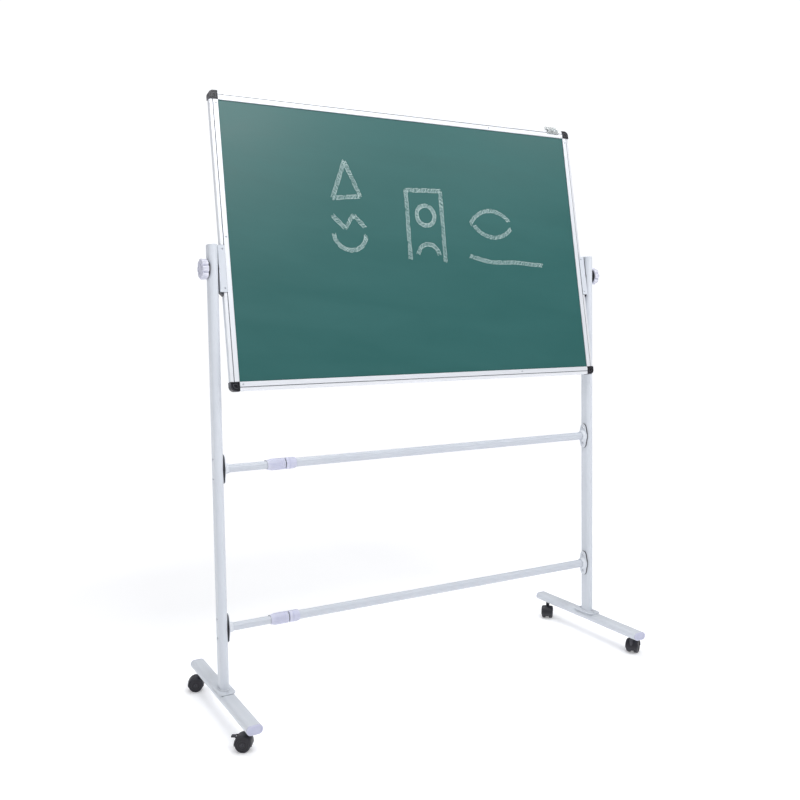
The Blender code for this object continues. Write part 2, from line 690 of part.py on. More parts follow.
def make_hood(name, empty):
    """A mudguard over both wheels, with the web between them, the neck and the axle."""
    outside = arc((0, 0), HOOD_OUTER_RADIUS, -HOOD_DROOP, 180 + HOOD_DROOP, 12)
    inside = arc((0, 0), HOOD_INNER_RADIUS, 180 + HOOD_DROOP, -HOOD_DROOP, 12)
    arch = outside + inside
    hood = extruded(f"{name}_castor_hood", [arch], 2 * HOOD_HALF_WIDTH)
    web_outline = arc((0, 0), WEB_RADIUS, -WEB_DROOP, 180 + WEB_DROOP, 12)
    web_outline += [(-WEB_FOOT_HALF, -WEB_FOOT_DROP), (WEB_FOOT_HALF, -WEB_FOOT_DROP)]
    web = extruded(f"{hood.name}_web", [web_outline], WEB_THICKNESS)
    combine(hood, web, "UNION")
    axle_reach = HOOD_HALF_WIDTH - AXLE_INSET
    axle = rod(f"{hood.name}_axle", AXLE_RADIUS, -axle_reach, axle_reach, 12)
    combine(hood, axle, "UNION")
    to_stem = Matrix.Translation((-CASTOR_TRAIL, -WHEEL_RADIUS, 0)) @ ALONG_Y
    neck = rod(f"{hood.name}_neck", NECK_RADIUS, NECK_BOTTOM, NECK_TOP, 12)
    wheel_room = rod(f"{neck.name}_wheel_room", WEB_RADIUS, -HOOD_HALF_WIDTH, HOOD_HALF_WIDTH)
    combine(neck, wheel_room, "DIFFERENCE", to_stem.inverted())
    combine(hood, neck, "UNION", to_stem)
    socket_radius = STEM_RADIUS + RUNNING_GAP
    socket = rod(f"{hood.name}_socket", socket_radius, STEM_BOTTOM - GAP, STEM_TOP, 12)
    combine(hood, socket, "DIFFERENCE", to_stem)
    stand_up = Matrix.Rotation(math.pi / 2, 4, "X")
    axle_centre = Matrix.Translation((CASTOR_TRAIL, 0, WHEEL_RADIUS))
    place(hood, "black_nylon", axle_centre @ stand_up, empty)


def make_wheel(name, empty, sign):
    """A tread with rounded shoulders, a recessed disc and a raised hub."""
    bore = AXLE_RADIUS + GAP
    profile = [(radius, WHEEL_WIDTH - inwards) for radius, inwards in WHEEL_OUTER_SECTION]
    profile += [
        (WHEEL_RADIUS, WHEEL_INNER_CHAMFER),
        (WHEEL_RADIUS - WHEEL_INNER_CHAMFER, 0),
        (bore, 0),
        (bore, profile[0][1]),
    ]
    wheel = turned(f"{name}_wheel", profile, closed=True)
    sideways = Matrix.Rotation(-sign * math.pi / 2, 4, "X")
    start = WEB_THICKNESS / 2 + RUNNING_GAP
    centre = Matrix.Translation((CASTOR_TRAIL, sign * start, WHEEL_RADIUS))
    place(wheel, "black_nylon", centre @ sideways, empty)


def make_brake_lever(name, empty):
    """A tread-down tab behind the hood, with its origin on its hinge."""
    reach = math.sqrt(HOOD_OUTER_RADIUS**2 - (LEVER_HEIGHT - WHEEL_RADIUS) ** 2) + LEVER_CLEARANCE
    low = (0, -LEVER_WIDTH / 2, -LEVER_THICKNESS / 2)
    high = (LEVER_LENGTH, LEVER_WIDTH / 2, LEVER_THICKNESS / 2)
    lever = block(f"{name}_brake_lever", low, high)
    round_edges(lever, LEVER_ROUNDING)
    hinge = Matrix.Translation((CASTOR_TRAIL + reach, 0, LEVER_HEIGHT))
    place(lever, "black_nylon", hinge, empty)


def make_castor(end, y, side, sign):
    """One complete castor; the front pair have brakes."""
    name = f"{end}_{side}"
    where = Matrix.Translation((sign * UPRIGHT_SPACING / 2, y, 0))
    heading = Matrix.Rotation(CASTOR_HEADINGS[name], 4, "Z")
    empty = make_empty(f"{name}_castor_axis", where @ heading)
    make_stem(name, empty)
    make_hood(name, empty)
    for hand, wheel_sign in SIDES.items():
        make_wheel(f"{name}_{hand}", empty, wheel_sign)
    if end == "front":
        make_brake_lever(name, empty)


def make_stand():
    """Both side frames and the crossbars that tie them together."""
    for side, sign in SIDES.items():
        make_upright(side, sign)
        make_foot(side, sign)
        for end, facing in (("front", -1), ("rear", 1)):
            make_foot_cap(side, sign, end, facing)
            make_castor(end, facing * CASTOR_Y, side, sign)
        make_pivot(side, sign)
    for level in CROSSBAR_HEIGHTS:
        make_crossbar(level)
        make_flange(level, "left", -1, THIN_RADIUS)
        make_flange(level, "right", 1, THICK_RADIUS)


clear_scene()
PARTS = make_collection("revolving_chalkboard")
TOOLS = make_collection("joining_and_cutting_tools")
make_stand()
make_board()
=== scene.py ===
"""The looks of a mobile revolving chalkboard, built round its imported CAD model.

Metres, +Z up, with the floor at zero. +X runs along the board to its right and -Y is the
side that the front writing face looks at.
"""

import json
import logging
import math
import random
from dataclasses import dataclass
from enum import Enum
from typing import Any, Callable, Iterable, Sequence

import bmesh
import bpy
from mathutils import Matrix, Vector


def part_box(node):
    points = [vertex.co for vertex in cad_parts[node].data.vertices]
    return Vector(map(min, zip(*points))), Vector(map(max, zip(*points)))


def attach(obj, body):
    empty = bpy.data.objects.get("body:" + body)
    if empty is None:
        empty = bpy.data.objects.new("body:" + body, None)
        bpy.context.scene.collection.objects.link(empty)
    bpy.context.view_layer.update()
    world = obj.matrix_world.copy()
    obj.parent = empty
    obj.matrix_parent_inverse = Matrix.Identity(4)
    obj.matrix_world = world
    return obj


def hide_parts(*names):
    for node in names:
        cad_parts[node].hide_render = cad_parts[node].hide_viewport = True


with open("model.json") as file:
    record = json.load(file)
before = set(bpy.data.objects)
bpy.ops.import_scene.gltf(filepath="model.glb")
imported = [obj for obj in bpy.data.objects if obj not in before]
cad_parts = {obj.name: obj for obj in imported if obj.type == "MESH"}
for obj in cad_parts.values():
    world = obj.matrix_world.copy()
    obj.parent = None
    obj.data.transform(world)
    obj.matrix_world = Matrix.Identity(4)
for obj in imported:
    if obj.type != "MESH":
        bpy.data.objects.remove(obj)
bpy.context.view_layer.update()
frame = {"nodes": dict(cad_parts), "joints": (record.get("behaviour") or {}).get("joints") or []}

LOG = logging.getLogger("chalkboard")

Point = tuple[float, float]
Corner = tuple[float, float, float]
Colour = tuple[float, float, float, float]
Tree = bpy.types.NodeTree
Socket = bpy.types.NodeSocket

FULL_TURN = 2 * math.pi
QUARTER_TURN = math.pi / 2
ALONG_X = Matrix.Rotation(QUARTER_TURN, 4, "Y")
SHARP_ANGLE = math.radians(38)
WELD_DISTANCE = 1e-6
# Edges that start below this height belong to a shape's underside.
UNDERSIDE = 0.001
ROUND_STEPS = 48
# How far each screw's cross is turned from the one before, in radians.
SCREW_TURN = 0.7

# The grey painted into hollows as shade: ambient occlusion darkens grooves and inside corners.
HOLLOW_SHADE_GREY = "#4c4e57"
# How far a hollow's walls stand apart at most, in metres, and the rays that feel for them.
HOLLOW_DEPTH = 0.004
HOLLOW_RAYS = 8

# Sockets of the Mix node in its colour mode, which its names don't tell apart.
MIX_FIRST, MIX_SECOND, MIX_RESULT = 6, 7, 2


class Side(Enum):
    """The two ends of the board."""

    LEFT = -1
    RIGHT = 1

    @property
    def label(self) -> str:
        """The word that the CAD uses for this side."""
        return self.name.lower()


class End(Enum):
    """The two ends of a foot, and the two faces of the board."""

    FRONT = -1
    REAR = 1

    @property
    def label(self) -> str:
        """The word that the CAD uses for this end."""
        return self.name.lower()


class Slot(Enum):
    """The record's material slots."""

    POWDER_COAT = "white_powder_coat"
    ALUMINIUM = "anodised_aluminium"
    BLACK_PLASTIC = "black_plastic"
    LILAC_PLASTIC = "lilac_plastic"
    WHITE_PLASTIC = "white_plastic"
    CHALK_ENAMEL = "green_chalk_enamel"
    CARD = "honeycomb_card"
    ZINC = "zinc_plated_steel"
    NYLON = "black_nylon"
    CLEAR_PLASTIC = "clear_plastic"


# Places that the CAD gives


def middle(node: str) -> Vector:
    """The middle of a CAD node's box."""
    low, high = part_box(node)
    return (low + high) / 2


def joint_place(name: str) -> Vector:
    """The point that a joint turns about.

    Args:
        name: The joint's name in the record.

    Returns:
        The point, in metres.
    """
    found = next(joint for joint in frame["joints"] if joint["name"] == name)
    return Vector(found["pos_m"])


# Shaping


class Blank:
    """A closed shape in the making. Each method is one workshop step on its bmesh."""

    def __init__(self) -> None:
        """Starts with no geometry."""
        self.bm = bmesh.new()

    @classmethod
    def plate(cls, corners: Sequence[Point], thickness: float) -> "Blank":
        """A flat plate cut to an outline.

        Args:
            corners: The outline's corners in the XY plane.
            thickness: How far it reaches up from z = 0.

        Returns:
            The new blank.
        """
        blank = cls()
        blank.bm.faces.new([blank.bm.verts.new((x, y, 0)) for x, y in corners])
        return blank.thicken(thickness)

    @classmethod
    def block(cls, low: Corner, high: Corner) -> "Blank":
        """A block between two corners."""
        blank = cls()
        size = Vector(high) - Vector(low)
        bmesh.ops.create_cube(blank.bm, size=1)
        bmesh.ops.scale(blank.bm, vec=size, verts=blank.bm.verts)
        return blank.move(Matrix.Translation(Vector(low) + size / 2))

    @classmethod
    def disc(cls, radius: float, thickness: float, steps: int = ROUND_STEPS) -> "Blank":
        """A round plate on z = 0."""
        blank = cls()
        bmesh.ops.create_circle(blank.bm, cap_ends=True, radius=radius, segments=steps)
        return blank.thicken(thickness)

    @classmethod
    def oval(cls, width: float, depth: float, thickness: float) -> "Blank":
        """A flat oval plate on z = 0: a round one, drawn apart along Y.

        Args:
            width: Its width across X, and the diameter of its round ends.
            depth: Its whole length along Y.
            thickness: How far it reaches up.

        Returns:
            The new blank.
        """
        blank = cls()
        half_step = Matrix.Rotation(math.pi / ROUND_STEPS, 4, "Z")
        bmesh.ops.create_circle(
            blank.bm, cap_ends=True, radius=width / 2, segments=ROUND_STEPS, matrix=half_step
        )
        for vert in blank.bm.verts:
            vert.co.y += math.copysign((depth - width) / 2, vert.co.y)
        return blank.thicken(thickness)

    @classmethod
    def turning(
        cls,
        profile: Iterable[Point],
        closed: bool = False,
        steps: int = ROUND_STEPS,
        angle: float = FULL_TURN,
    ) -> "Blank":
        """A profile turned round Z.

        Args:
            profile: Points of (radius, height).
            closed: Whether the last point joins the first, as on a ring.
            steps: How many flats the round has.
            angle: How far to turn. Less than a full turn leaves two flat ends.

        Returns:
            The new blank.
        """
        blank = cls()
        points = [blank.bm.verts.new((radius, 0, height)) for radius, height in profile]
        following = points[1:] + (points[:1] if closed else [])
        edges = [blank.bm.edges.new(pair) for pair in zip(points, following)]
        whole = math.isclose(angle, FULL_TURN)
        bmesh.ops.spin(
            blank.bm,
            geom=points + edges,
            cent=(0, 0, 0),
            axis=(0, 0, 1),
            dvec=(0, 0, 0),
            angle=angle,
            steps=steps,
            use_merge=whole,
        )
        if not whole:
            open_edges = [edge for edge in blank.bm.edges if edge.is_boundary]
            bmesh.ops.holes_fill(blank.bm, edges=open_edges, sides=0)
        return blank.weld()

    def weld(self) -> "Blank":
        """Merges doubles and turns every face outwards."""
        bmesh.ops.remove_doubles(self.bm, verts=self.bm.verts, dist=WELD_DISTANCE)
        bmesh.ops.recalc_face_normals(self.bm, faces=self.bm.faces)
        return self

    def thicken(self, height: float) -> "Blank":
        """Draws a flat face up into a solid."""
        grown = bmesh.ops.extrude_face_region(self.bm, geom=self.bm.faces[:])["geom"]
        top = [item for item in grown if isinstance(item, bmesh.types.BMVert)]
        bmesh.ops.translate(self.bm, vec=(0, 0, height), verts=top)
        return self.weld()

    def move(self, matrix: Matrix) -> "Blank":
        """Moves, turns or mirrors the blank."""
        bmesh.ops.transform(self.bm, matrix=matrix, verts=self.bm.verts)
        if matrix.determinant() < 0:
            bmesh.ops.reverse_faces(self.bm, faces=self.bm.faces)
        return self

    def reshape(self, change: Callable[[Vector], None]) -> "Blank":
        """Lets a function move each vertex in place."""
        for vert in self.bm.verts:
            change(vert.co)
        return self

    def soften(
        self,
        width: float,
        segments: int = 2,
        where: Callable[[bmesh.types.BMEdge], bool] | None = None,
    ) -> "Blank":
        """Rounds the sharp edges.

        Args:
            width: The rounding's width on each face.
            segments: How many flats it has.
            where: Says which edges to round, or None for all the sharp ones.

        Returns:
            The blank itself.
        """
        sharp = [
            edge
            for edge in self.bm.edges
            if edge.calc_face_angle(0) > SHARP_ANGLE and (where is None or where(edge))
        ]
        bmesh.ops.bevel(
            self.bm,
            geom=sharp,
            offset=width,
            offset_type="OFFSET",
            segments=segments,
            profile=0.5,
            affect="EDGES",
            clamp_overlap=True,
            material=-1,
        )
        return self.weld()

    def step(self, normal: Corner, margin: float, depth: float) -> "Blank":
        """Insets the largest flat face that looks one way, and raises or sinks its middle.

        Args:
            normal: The way that the face looks.
            margin: How far inside the face's edge the step starts.
            depth: How far it rises, or sinks if negative.

        Returns:
            The blank itself.
        """
        facing = [face for face in self.bm.faces if face.normal.dot(Vector(normal)) > 0.99]
        face = max(facing, key=lambda found: found.calc_area())
        bmesh.ops.inset_region(self.bm, faces=[face], thickness=margin, depth=0)
        bmesh.ops.inset_region(self.bm, faces=[face], thickness=abs(depth) / 3, depth=depth)
        return self

    def add(self, other: "Blank", *places: Matrix) -> "Blank":
        """Uses another blank up: puts a copy of its shape at each place in this one.

        Args:
            other: The blank to use up.
            *places: Where the copies go, or nothing for one as it stands.

        Returns:
            The blank itself.
        """
        for place in places or (Matrix(),):
            carrier = bpy.data.meshes.new("carrier")
            other.bm.to_mesh(carrier)
            carrier.transform(place)
            self.bm.from_mesh(carrier)
            bpy.data.meshes.remove(carrier)
        other.bm.free()
        return self

    def finish(
        self,
        name: str,
        body: str,
        finish: "Finish",
        replaces: Sequence[str] = (),
        matrix: Matrix | None = None,
    ) -> bpy.types.Object:
        """Makes the blank one named piece, dressed and riding on its body.

        Args:
            name: The piece's name.
            body: The CAD body that it moves with.
            finish: What it is dressed in.
            replaces: The CAD nodes that it stands for.
            matrix: Where it goes.

        Returns:
            The finished piece, its place in its mesh.
        """
        self.move(matrix or Matrix())
        self.weld()
        if any(not edge.is_manifold for edge in self.bm.edges):
            LOG.warning("%s is open", name)
        mesh = bpy.data.meshes.new(name)
        self.bm.to_mesh(mesh)
        self.bm.free()
        mesh.shade_smooth()
        mesh.set_sharp_from_angle(angle=SHARP_ANGLE)
        mesh.materials.append(finish.material())
        piece = bpy.data.objects.new(name, mesh)
        bpy.context.scene.collection.objects.link(piece)
        evened = piece.modifiers.new("flats stay flat", "WEIGHTED_NORMAL")
        evened.keep_sharp = True
        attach(piece, body)
        if replaces:
            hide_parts(*replaces)
        return piece


def ring(outer: float, inner: float, start: float, end: float, rounding: float) -> Blank:
    """A tube or washer round Z.

    Args:
        outer: Its outer radius.
        inner: Its bore's radius.
        start: The height it starts at.
        end: The height it ends at.
        rounding: The rounding of its edges.

    Returns:
        The new blank.
    """
    profile = [(outer, end), (outer, start), (inner, start), (inner, end)]
    return Blank.turning(profile, closed=True).soften(rounding)


def screw_head(radius: float, height: float) -> Blank:
    """A domed screw head with a cross recess, its underside on z = 0.

    Args:
        radius: The head's radius.
        height: How far it stands up.

    Returns:
        The new blank.
    """
    dome = [(0, 0), (radius, 0), (0.96 * radius, 0.35 * height), (0.80 * radius, 0.72 * height)]
    dome += [(0.62 * radius, 0.90 * height), (0, height)]
    head = Blank.turning(dome, steps=16)
    crown = [face for face in head.bm.faces if face.calc_center_median().z > 0.88 * height]
    bmesh.ops.inset_region(head.bm, faces=crown, thickness=0.04 * radius, depth=0)
    for vert in {vert for face in crown for vert in face.verts}:
        arm = 0.5 + 0.5 * math.cos(4 * math.atan2(vert.co.y, vert.co.x))
        vert.co.xy *= 0.30 + 0.62 * arm * arm
    sunk = bmesh.ops.extrude_face_region(head.bm, geom=crown)["geom"]
    floor = [item for item in sunk if isinstance(item, bmesh.types.BMVert)]
    bmesh.ops.scale(head.bm, vec=(0.7, 0.7, 1), verts=floor)
    bmesh.ops.translate(head.bm, vec=(0, 0, -0.5 * height), verts=floor)
    return head


def screws(radius: float, height: float, places: Iterable[Matrix]) -> Blank:
    """A set of screw heads.

    Args:
        radius: Each head's radius.
        height: How far each stands up.
        places: Where each goes, with its local Z out of the surface.

    Returns:
        One blank with them all.
    """
    turned = [
        place @ Matrix.Rotation(SCREW_TURN * count, 4, "Z") for count, place in enumerate(places)
    ]
    return Blank().add(screw_head(radius, height), *turned)


# Finishes


def linear(code: str) -> Colour:
    """Turns an sRGB hex colour into the linear values that a shader takes.

    Args:
        code: Six hex digits after a hash.

    Returns:
        Linear red, green and blue, and a full alpha.
    """
    values = [int(code[i : i + 2], 16) / 255 for i in (1, 3, 5)]
    red, green, blue = (
        v / 12.92 if v <= 0.04045 else ((v + 0.055) / 1.055) ** 2.4 for v in values
    )
    return red, green, blue, 1.0


def per_mm(size: float) -> float:
    """The scale that gives a pattern features of this many millimetres."""
    return 1000 / size


def add_node(
    tree: Tree, kind: str, inputs: dict[str | int, Any] | None = None, **settings: Any
) -> bpy.types.Node:
    """Adds one node to a material.

    Args:
        tree: The material's nodes.
        kind: The node's type.
        inputs: A value, or the output to link, for each input by name or number.
        **settings: The node's own settings.

    Returns:
        The new node.
    """
    made = tree.nodes.new(kind)
    for name, value in settings.items():
        setattr(made, name, value)
    for key, value in (inputs or {}).items():
        if isinstance(value, Socket):
            tree.links.new(value, made.inputs[key])
        else:
            made.inputs[key].default_value = value
    return made


@dataclass(frozen=True)
class Finish:
    """Two tones mixed by a pattern, with worn edges, uneven gloss and relief.

    Sizes in mm are real ones. A spread or strength of zero leaves that step out, and so does
    no rubbed colour.
    """

    name: str
    slot: Slot | None
    roughness: float
    colour: str
    second_colour: str
    metallic: float = 0.0
    rubbed_colour: str | None = None
    rub: float = 0.6
    # Whether grooves and inside corners get painted shade.
    dusty: bool = False
    cloud_mm: float = 10.0
    cloud_detail: float = 4.0
    cloud_roughness: float = 0.5
    gloss_spread: float = 0.0
    relief_strength: float = 0.0
    relief_depth_mm: float = 0.02

    def material(self) -> bpy.types.Material:
        """The finish's material, made once."""
        found = bpy.data.materials.get(self.name)
        if found:
            return found
        made = bpy.data.materials.new(self.name)
        made.use_nodes = True
        tree = made.node_tree
        shader = tree.nodes["Principled BSDF"]
        shader.inputs["Metallic"].default_value = self.metallic
        shader.inputs["Roughness"].default_value = self.roughness
        place = add_node(tree, "ShaderNodeTexCoord").outputs["Object"]
        self.dress(tree, shader, place)
        return made

    def dress(self, tree: Tree, shader: bpy.types.Node, place: Socket) -> None:
        """Adds the tones, the wear, the painted shade in hollows, the gloss and the relief.

        Args:
            tree: The material's nodes.
            shader: Its Principled shader.
            place: The object coordinates, in metres.
        """
        pattern = self.pattern(tree, place)
        tones = {MIX_FIRST: linear(self.colour), MIX_SECOND: linear(self.second_colour)}
        factor = {"Factor": self.share(tree, pattern)}
        tint = add_node(tree, "ShaderNodeMix", factor | tones, data_type="RGBA")
        colour = tint.outputs[MIX_RESULT]
        if self.rubbed_colour:
            colour = self.rub_edges(tree, colour)
        # Painted shade: grey laid into grooves and inside corners where ambient occlusion finds
        # walls close by.
        if self.dusty:
            colour = self.dust_hollows(tree, colour)
        tree.links.new(colour, shader.inputs["Base Color"])
        if self.gloss_spread:
            self.vary_roughness(tree, shader, pattern)
        if self.relief_strength:
            self.emboss(tree, shader, self.relief(tree, place, pattern))

    def pattern(self, tree: Tree, place: Socket) -> Socket:
        """What the tones and the gloss follow, from 0 to 1: clouds.

        Args:
            tree: The material's nodes.
            place: The object coordinates, in metres.

        Returns:
            The pattern.
        """
        clouds = add_node(
            tree,
            "ShaderNodeTexNoise",
            {
                "Vector": place,
                "Scale": per_mm(self.cloud_mm),
                "Detail": self.cloud_detail,
                "Roughness": self.cloud_roughness,
            },
        )
        return clouds.outputs["Fac"]

    def share(self, tree: Tree, pattern: Socket) -> Socket:
        """How much of the second tone shows: the pattern as it is."""
        return pattern

    def relief(self, tree: Tree, place: Socket, pattern: Socket) -> Socket:
        """The height that the bump follows: the pattern as it is."""
        return pattern

    def vary_roughness(self, tree: Tree, shader: bpy.types.Node, pattern: Socket) -> None:
        """Lets the pattern move the roughness to each side of its middle.

        Args:
            tree: The material's nodes.
            shader: Its Principled shader.
            pattern: The pattern, from 0 to 1.
        """
        spread = add_node(
            tree,
            "ShaderNodeMapRange",
            {
                "Value": pattern,
                "From Min": 0.25,
                "From Max": 0.75,
                "To Min": self.roughness - self.gloss_spread,
                "To Max": self.roughness + self.gloss_spread,
            },
        )
        tree.links.new(spread.outputs["Result"], shader.inputs["Roughness"])

    def emboss(self, tree: Tree, shader: bpy.types.Node, height: Socket) -> None:
        """Turns a height pattern into bump.

        Args:
            tree: The material's nodes.
            shader: Its Principled shader.
            height: The pattern, from 0 to 1.
        """
        depth = self.relief_depth_mm / 1000
        inputs = {"Height": height, "Strength": self.relief_strength, "Distance": depth}
        bump = add_node(tree, "ShaderNodeBump", inputs)
        tree.links.new(bump.outputs["Normal"], shader.inputs["Normal"])

    def rub_edges(self, tree: Tree, colour: Socket) -> Socket:
        """Rubs the convex edges, which hands reach first.

        Args:
            tree: The material's nodes.
            colour: The colour away from the edges.

        Returns:
            The colour with its worn edges.
        """
        point = add_node(tree, "ShaderNodeNewGeometry").outputs["Pointiness"]
        edge = add_node(
            tree,
            "ShaderNodeMapRange",
            {"Value": point, "From Min": 0.51, "From Max": 0.60, "To Max": self.rub},
        )
        mixed = add_node(
            tree,
            "ShaderNodeMix",
            {
                "Factor": edge.outputs["Result"],
                MIX_FIRST: colour,
                MIX_SECOND: linear(self.rubbed_colour),
            },
            data_type="RGBA",
        )
        return mixed.outputs[MIX_RESULT]

    def dust_hollows(self, tree: Tree, colour: Socket) -> Socket:
        """Paints grey shade into grooves and inside corners a few millimetres deep, where ambient
        occlusion finds walls close by.

        Args:
            tree: The material's nodes.
            colour: The colour before the painted shade.

        Returns:
            The colour with painted shade in its hollows.
        """
        reach = {"Distance": HOLLOW_DEPTH}
        open_share = add_node(tree, "ShaderNodeAmbientOcclusion", reach, samples=HOLLOW_RAYS)
        hollow = add_node(
            tree,
            "ShaderNodeMapRange",
            {
                "Value": open_share.outputs["AO"],
                "From Min": 0.35,
                "From Max": 0.75,
                "To Min": 0.8,
                "To Max": 0.0,
            },
        )
        dusty = add_node(
            tree,
            "ShaderNodeMix",
            {
                "Factor": hollow.outputs["Result"],
                MIX_FIRST: colour,
                MIX_SECOND: linear(HOLLOW_SHADE_GREY),
            },
            data_type="RGBA",
        )
        return dusty.outputs[MIX_RESULT]


@dataclass(frozen=True)
class PowderCoat(Finish):
    """White polyester powder, sprayed on steel tube and baked.

    It has a soft gloss, a faint orange peel and slightly thinner colour in places.
    """

    name: str = "baked white polyester powder coat"
    slot: Slot | None = Slot.POWDER_COAT
    roughness: float = 0.34
    colour: str = "#dfe2e8"
    second_colour: str = "#d3d8df"
    rubbed_colour: str | None = "#b9c1cd"
    rub: float = 0.5
    # Painted shade in grooves and inside corners.
    dusty: bool = True
    cloud_mm: float = 180.0
    gloss_spread: float = 0.05
    relief_strength: float = 0.25
    relief_depth_mm: float = 0.05
    peel_mm: float = 1.8

    def relief(self, tree: Tree, place: Socket, pattern: Socket) -> Socket:
        """Orange peel."""
        inputs = {"Vector": place, "Scale": per_mm(self.peel_mm), "Detail": 2.0}
        return add_node(tree, "ShaderNodeTexNoise", inputs).outputs["Fac"]


@dataclass(frozen=True)
class Aluminium(Finish):
    """Clear-anodised aluminium extrusion.

    Fine draw lines run along it, drawn coarser than the real ones of under 0.2 mm. They
    spread its reflections across the section.
    """

    name: str = "clear anodised aluminium drawn along x"
    slot: Slot | None = Slot.ALUMINIUM
    roughness: float = 0.50
    metallic: float = 0.40
    colour: str = "#dfe2e9"
    second_colour: str = "#cdd1da"
    rubbed_colour: str | None = "#fafbfc"
    # Painted shade in grooves and inside corners.
    dusty: bool = True
    cloud_mm: float = 1.4
    cloud_detail: float = 5.0
    gloss_spread: float = 0.08
    relief_strength: float = 0.2
    turn: Corner = (0.0, 0.0, 0.0)
    stretch: Corner = (250.0, 1.0, 1.0)

    def pattern(self, tree: Tree, place: Socket) -> Socket:
        """Clouds drawn out into lines."""
        inputs = {"Vector": place, "Rotation": self.turn, "Scale": self.stretch}
        along = add_node(tree, "ShaderNodeMapping", inputs, vector_type="TEXTURE")
        return super().pattern(tree, along.outputs["Vector"])


@dataclass(frozen=True)
class Moulding(Finish):
    """An injection-moulded plastic: even colour, faint flow clouds and a spark-eroded grain."""

    cloud_mm: float = 14.0
    gloss_spread: float = 0.06
    relief_strength: float = 0.35
    relief_depth_mm: float = 0.03
    grain_mm: float = 0.7
    specular: float = 0.5
    subsurface: float = 0.0
    subsurface_radius: Corner = (0.003, 0.003, 0.004)

    def dress(self, tree: Tree, shader: bpy.types.Node, place: Socket) -> None:
        """Adds some glow where the plastic lets light in."""
        super().dress(tree, shader, place)
        shader.inputs["Specular IOR Level"].default_value = self.specular
        if self.subsurface:
            shader.inputs["Subsurface Weight"].default_value = self.subsurface
            shader.inputs["Subsurface Radius"].default_value = self.subsurface_radius
            shader.inputs["Subsurface Scale"].default_value = 1.0

    def relief(self, tree: Tree, place: Socket, pattern: Socket) -> Socket:
        """The mould's grain."""
        inputs = {"Vector": place, "Scale": per_mm(self.grain_mm)}
        return add_node(tree, "ShaderNodeTexVoronoi", inputs).outputs["Distance"]


@dataclass(frozen=True)
class ChalkEnamel(Finish):
    """Green vitreous enamel fired on steel, ground matt so that it takes chalk.

    Wiping leaves a thin pale film of chalk in broad level strokes. The tooth is drawn coarser
    than the real 0.1 mm grit.
    """

    name: str = "matt green vitreous chalk enamel"
    slot: Slot | None = Slot.CHALK_ENAMEL
    roughness: float = 0.40
    colour: str = "#1a5856"
    second_colour: str = "#296766"
    gloss_spread: float = 0.04
    relief_strength: float = 0.3
    lean: float = 0.0
    stroke_mm: float = 120.0
    tooth_mm: float = 1.2

    def pattern(self, tree: Tree, place: Socket) -> Socket:
        """The wiped film, stretched along the board and a little askew."""
        turn = {"Rotation": (-self.lean, 0.12, 0.0), "Scale": (2.8, 1.0, 0.6)}
        inputs = {"Vector": place} | turn
        wiped = add_node(tree, "ShaderNodeMapping", inputs, vector_type="TEXTURE")
        film = add_node(
            tree,
            "ShaderNodeTexNoise",
            {
                "Vector": wiped.outputs["Vector"],
                "Scale": per_mm(self.stroke_mm),
                "Detail": 7.0,
                "Roughness": 0.62,
                "Distortion": 0.4,
            },
        )
        return film.outputs["Fac"]

    def share(self, tree: Tree, pattern: Socket) -> Socket:
        """Only the thickest of the film, and never more than a third."""
        inputs = {"Value": pattern, "From Min": 0.35, "From Max": 0.80, "To Max": 0.30}
        return add_node(tree, "ShaderNodeMapRange", inputs).outputs["Result"]

    def relief(self, tree: Tree, place: Socket, pattern: Socket) -> Socket:
        """The tooth that takes the chalk."""
        inputs = {"Vector": place, "Scale": per_mm(self.tooth_mm), "Detail": 3.0}
        return add_node(tree, "ShaderNodeTexNoise", inputs).outputs["Fac"]


@dataclass(frozen=True)
class HoneycombCard(Finish):
    """Brown kraft paper honeycomb, seen only if the panel is taken apart."""

    name: str = "kraft paper honeycomb"
    slot: Slot | None = Slot.CARD
    roughness: float = 0.85
    colour: str = "#b58f5f"
    second_colour: str = "#8a683f"
    relief_strength: float = 0.4
    relief_depth_mm: float = 0.1
    cell_mm: float = 12.0
    fibre_mm: float = 2.0

    def pattern(self, tree: Tree, place: Socket) -> Socket:
        """Cells with darker walls."""
        inputs = {"Vector": place, "Scale": per_mm(self.cell_mm), "Randomness": 0.2}
        cells = add_node(tree, "ShaderNodeTexVoronoi", inputs, feature="DISTANCE_TO_EDGE")
        distance = {"Value": cells.outputs["Distance"], "From Max": 0.08}
        wall = add_node(tree, "ShaderNodeMapRange", distance | {"To Min": 1.0, "To Max": 0.0})
        return wall.outputs["Result"]

    def relief(self, tree: Tree, place: Socket, pattern: Socket) -> Socket:
        """Paper fibres."""
        inputs = {"Vector": place, "Scale": per_mm(self.fibre_mm), "Detail": 6.0}
        return add_node(tree, "ShaderNodeTexNoise", inputs).outputs["Fac"]


@dataclass(frozen=True)
class ClearPlastic(Finish):
    """Clear polycarbonate, moulded: see-through, with a pale body and fine scratches."""

    name: str = "clear moulded polycarbonate"
    slot: Slot | None = Slot.CLEAR_PLASTIC
    roughness: float = 0.14
    colour: str = "#fafdfd"
    second_colour: str = "#dbe6e8"
    cloud_mm: float = 9.0
    cloud_detail: float = 5.0
    gloss_spread: float = 0.05
    relief_strength: float = 0.05
    bending: float = 1.585
    clearness: float = 0.9

    def dress(self, tree: Tree, shader: bpy.types.Node, place: Socket) -> None:
        """Makes the body see-through."""
        super().dress(tree, shader, place)
        shader.inputs["IOR"].default_value = self.bending
        shader.inputs["Transmission Weight"].default_value = self.clearness


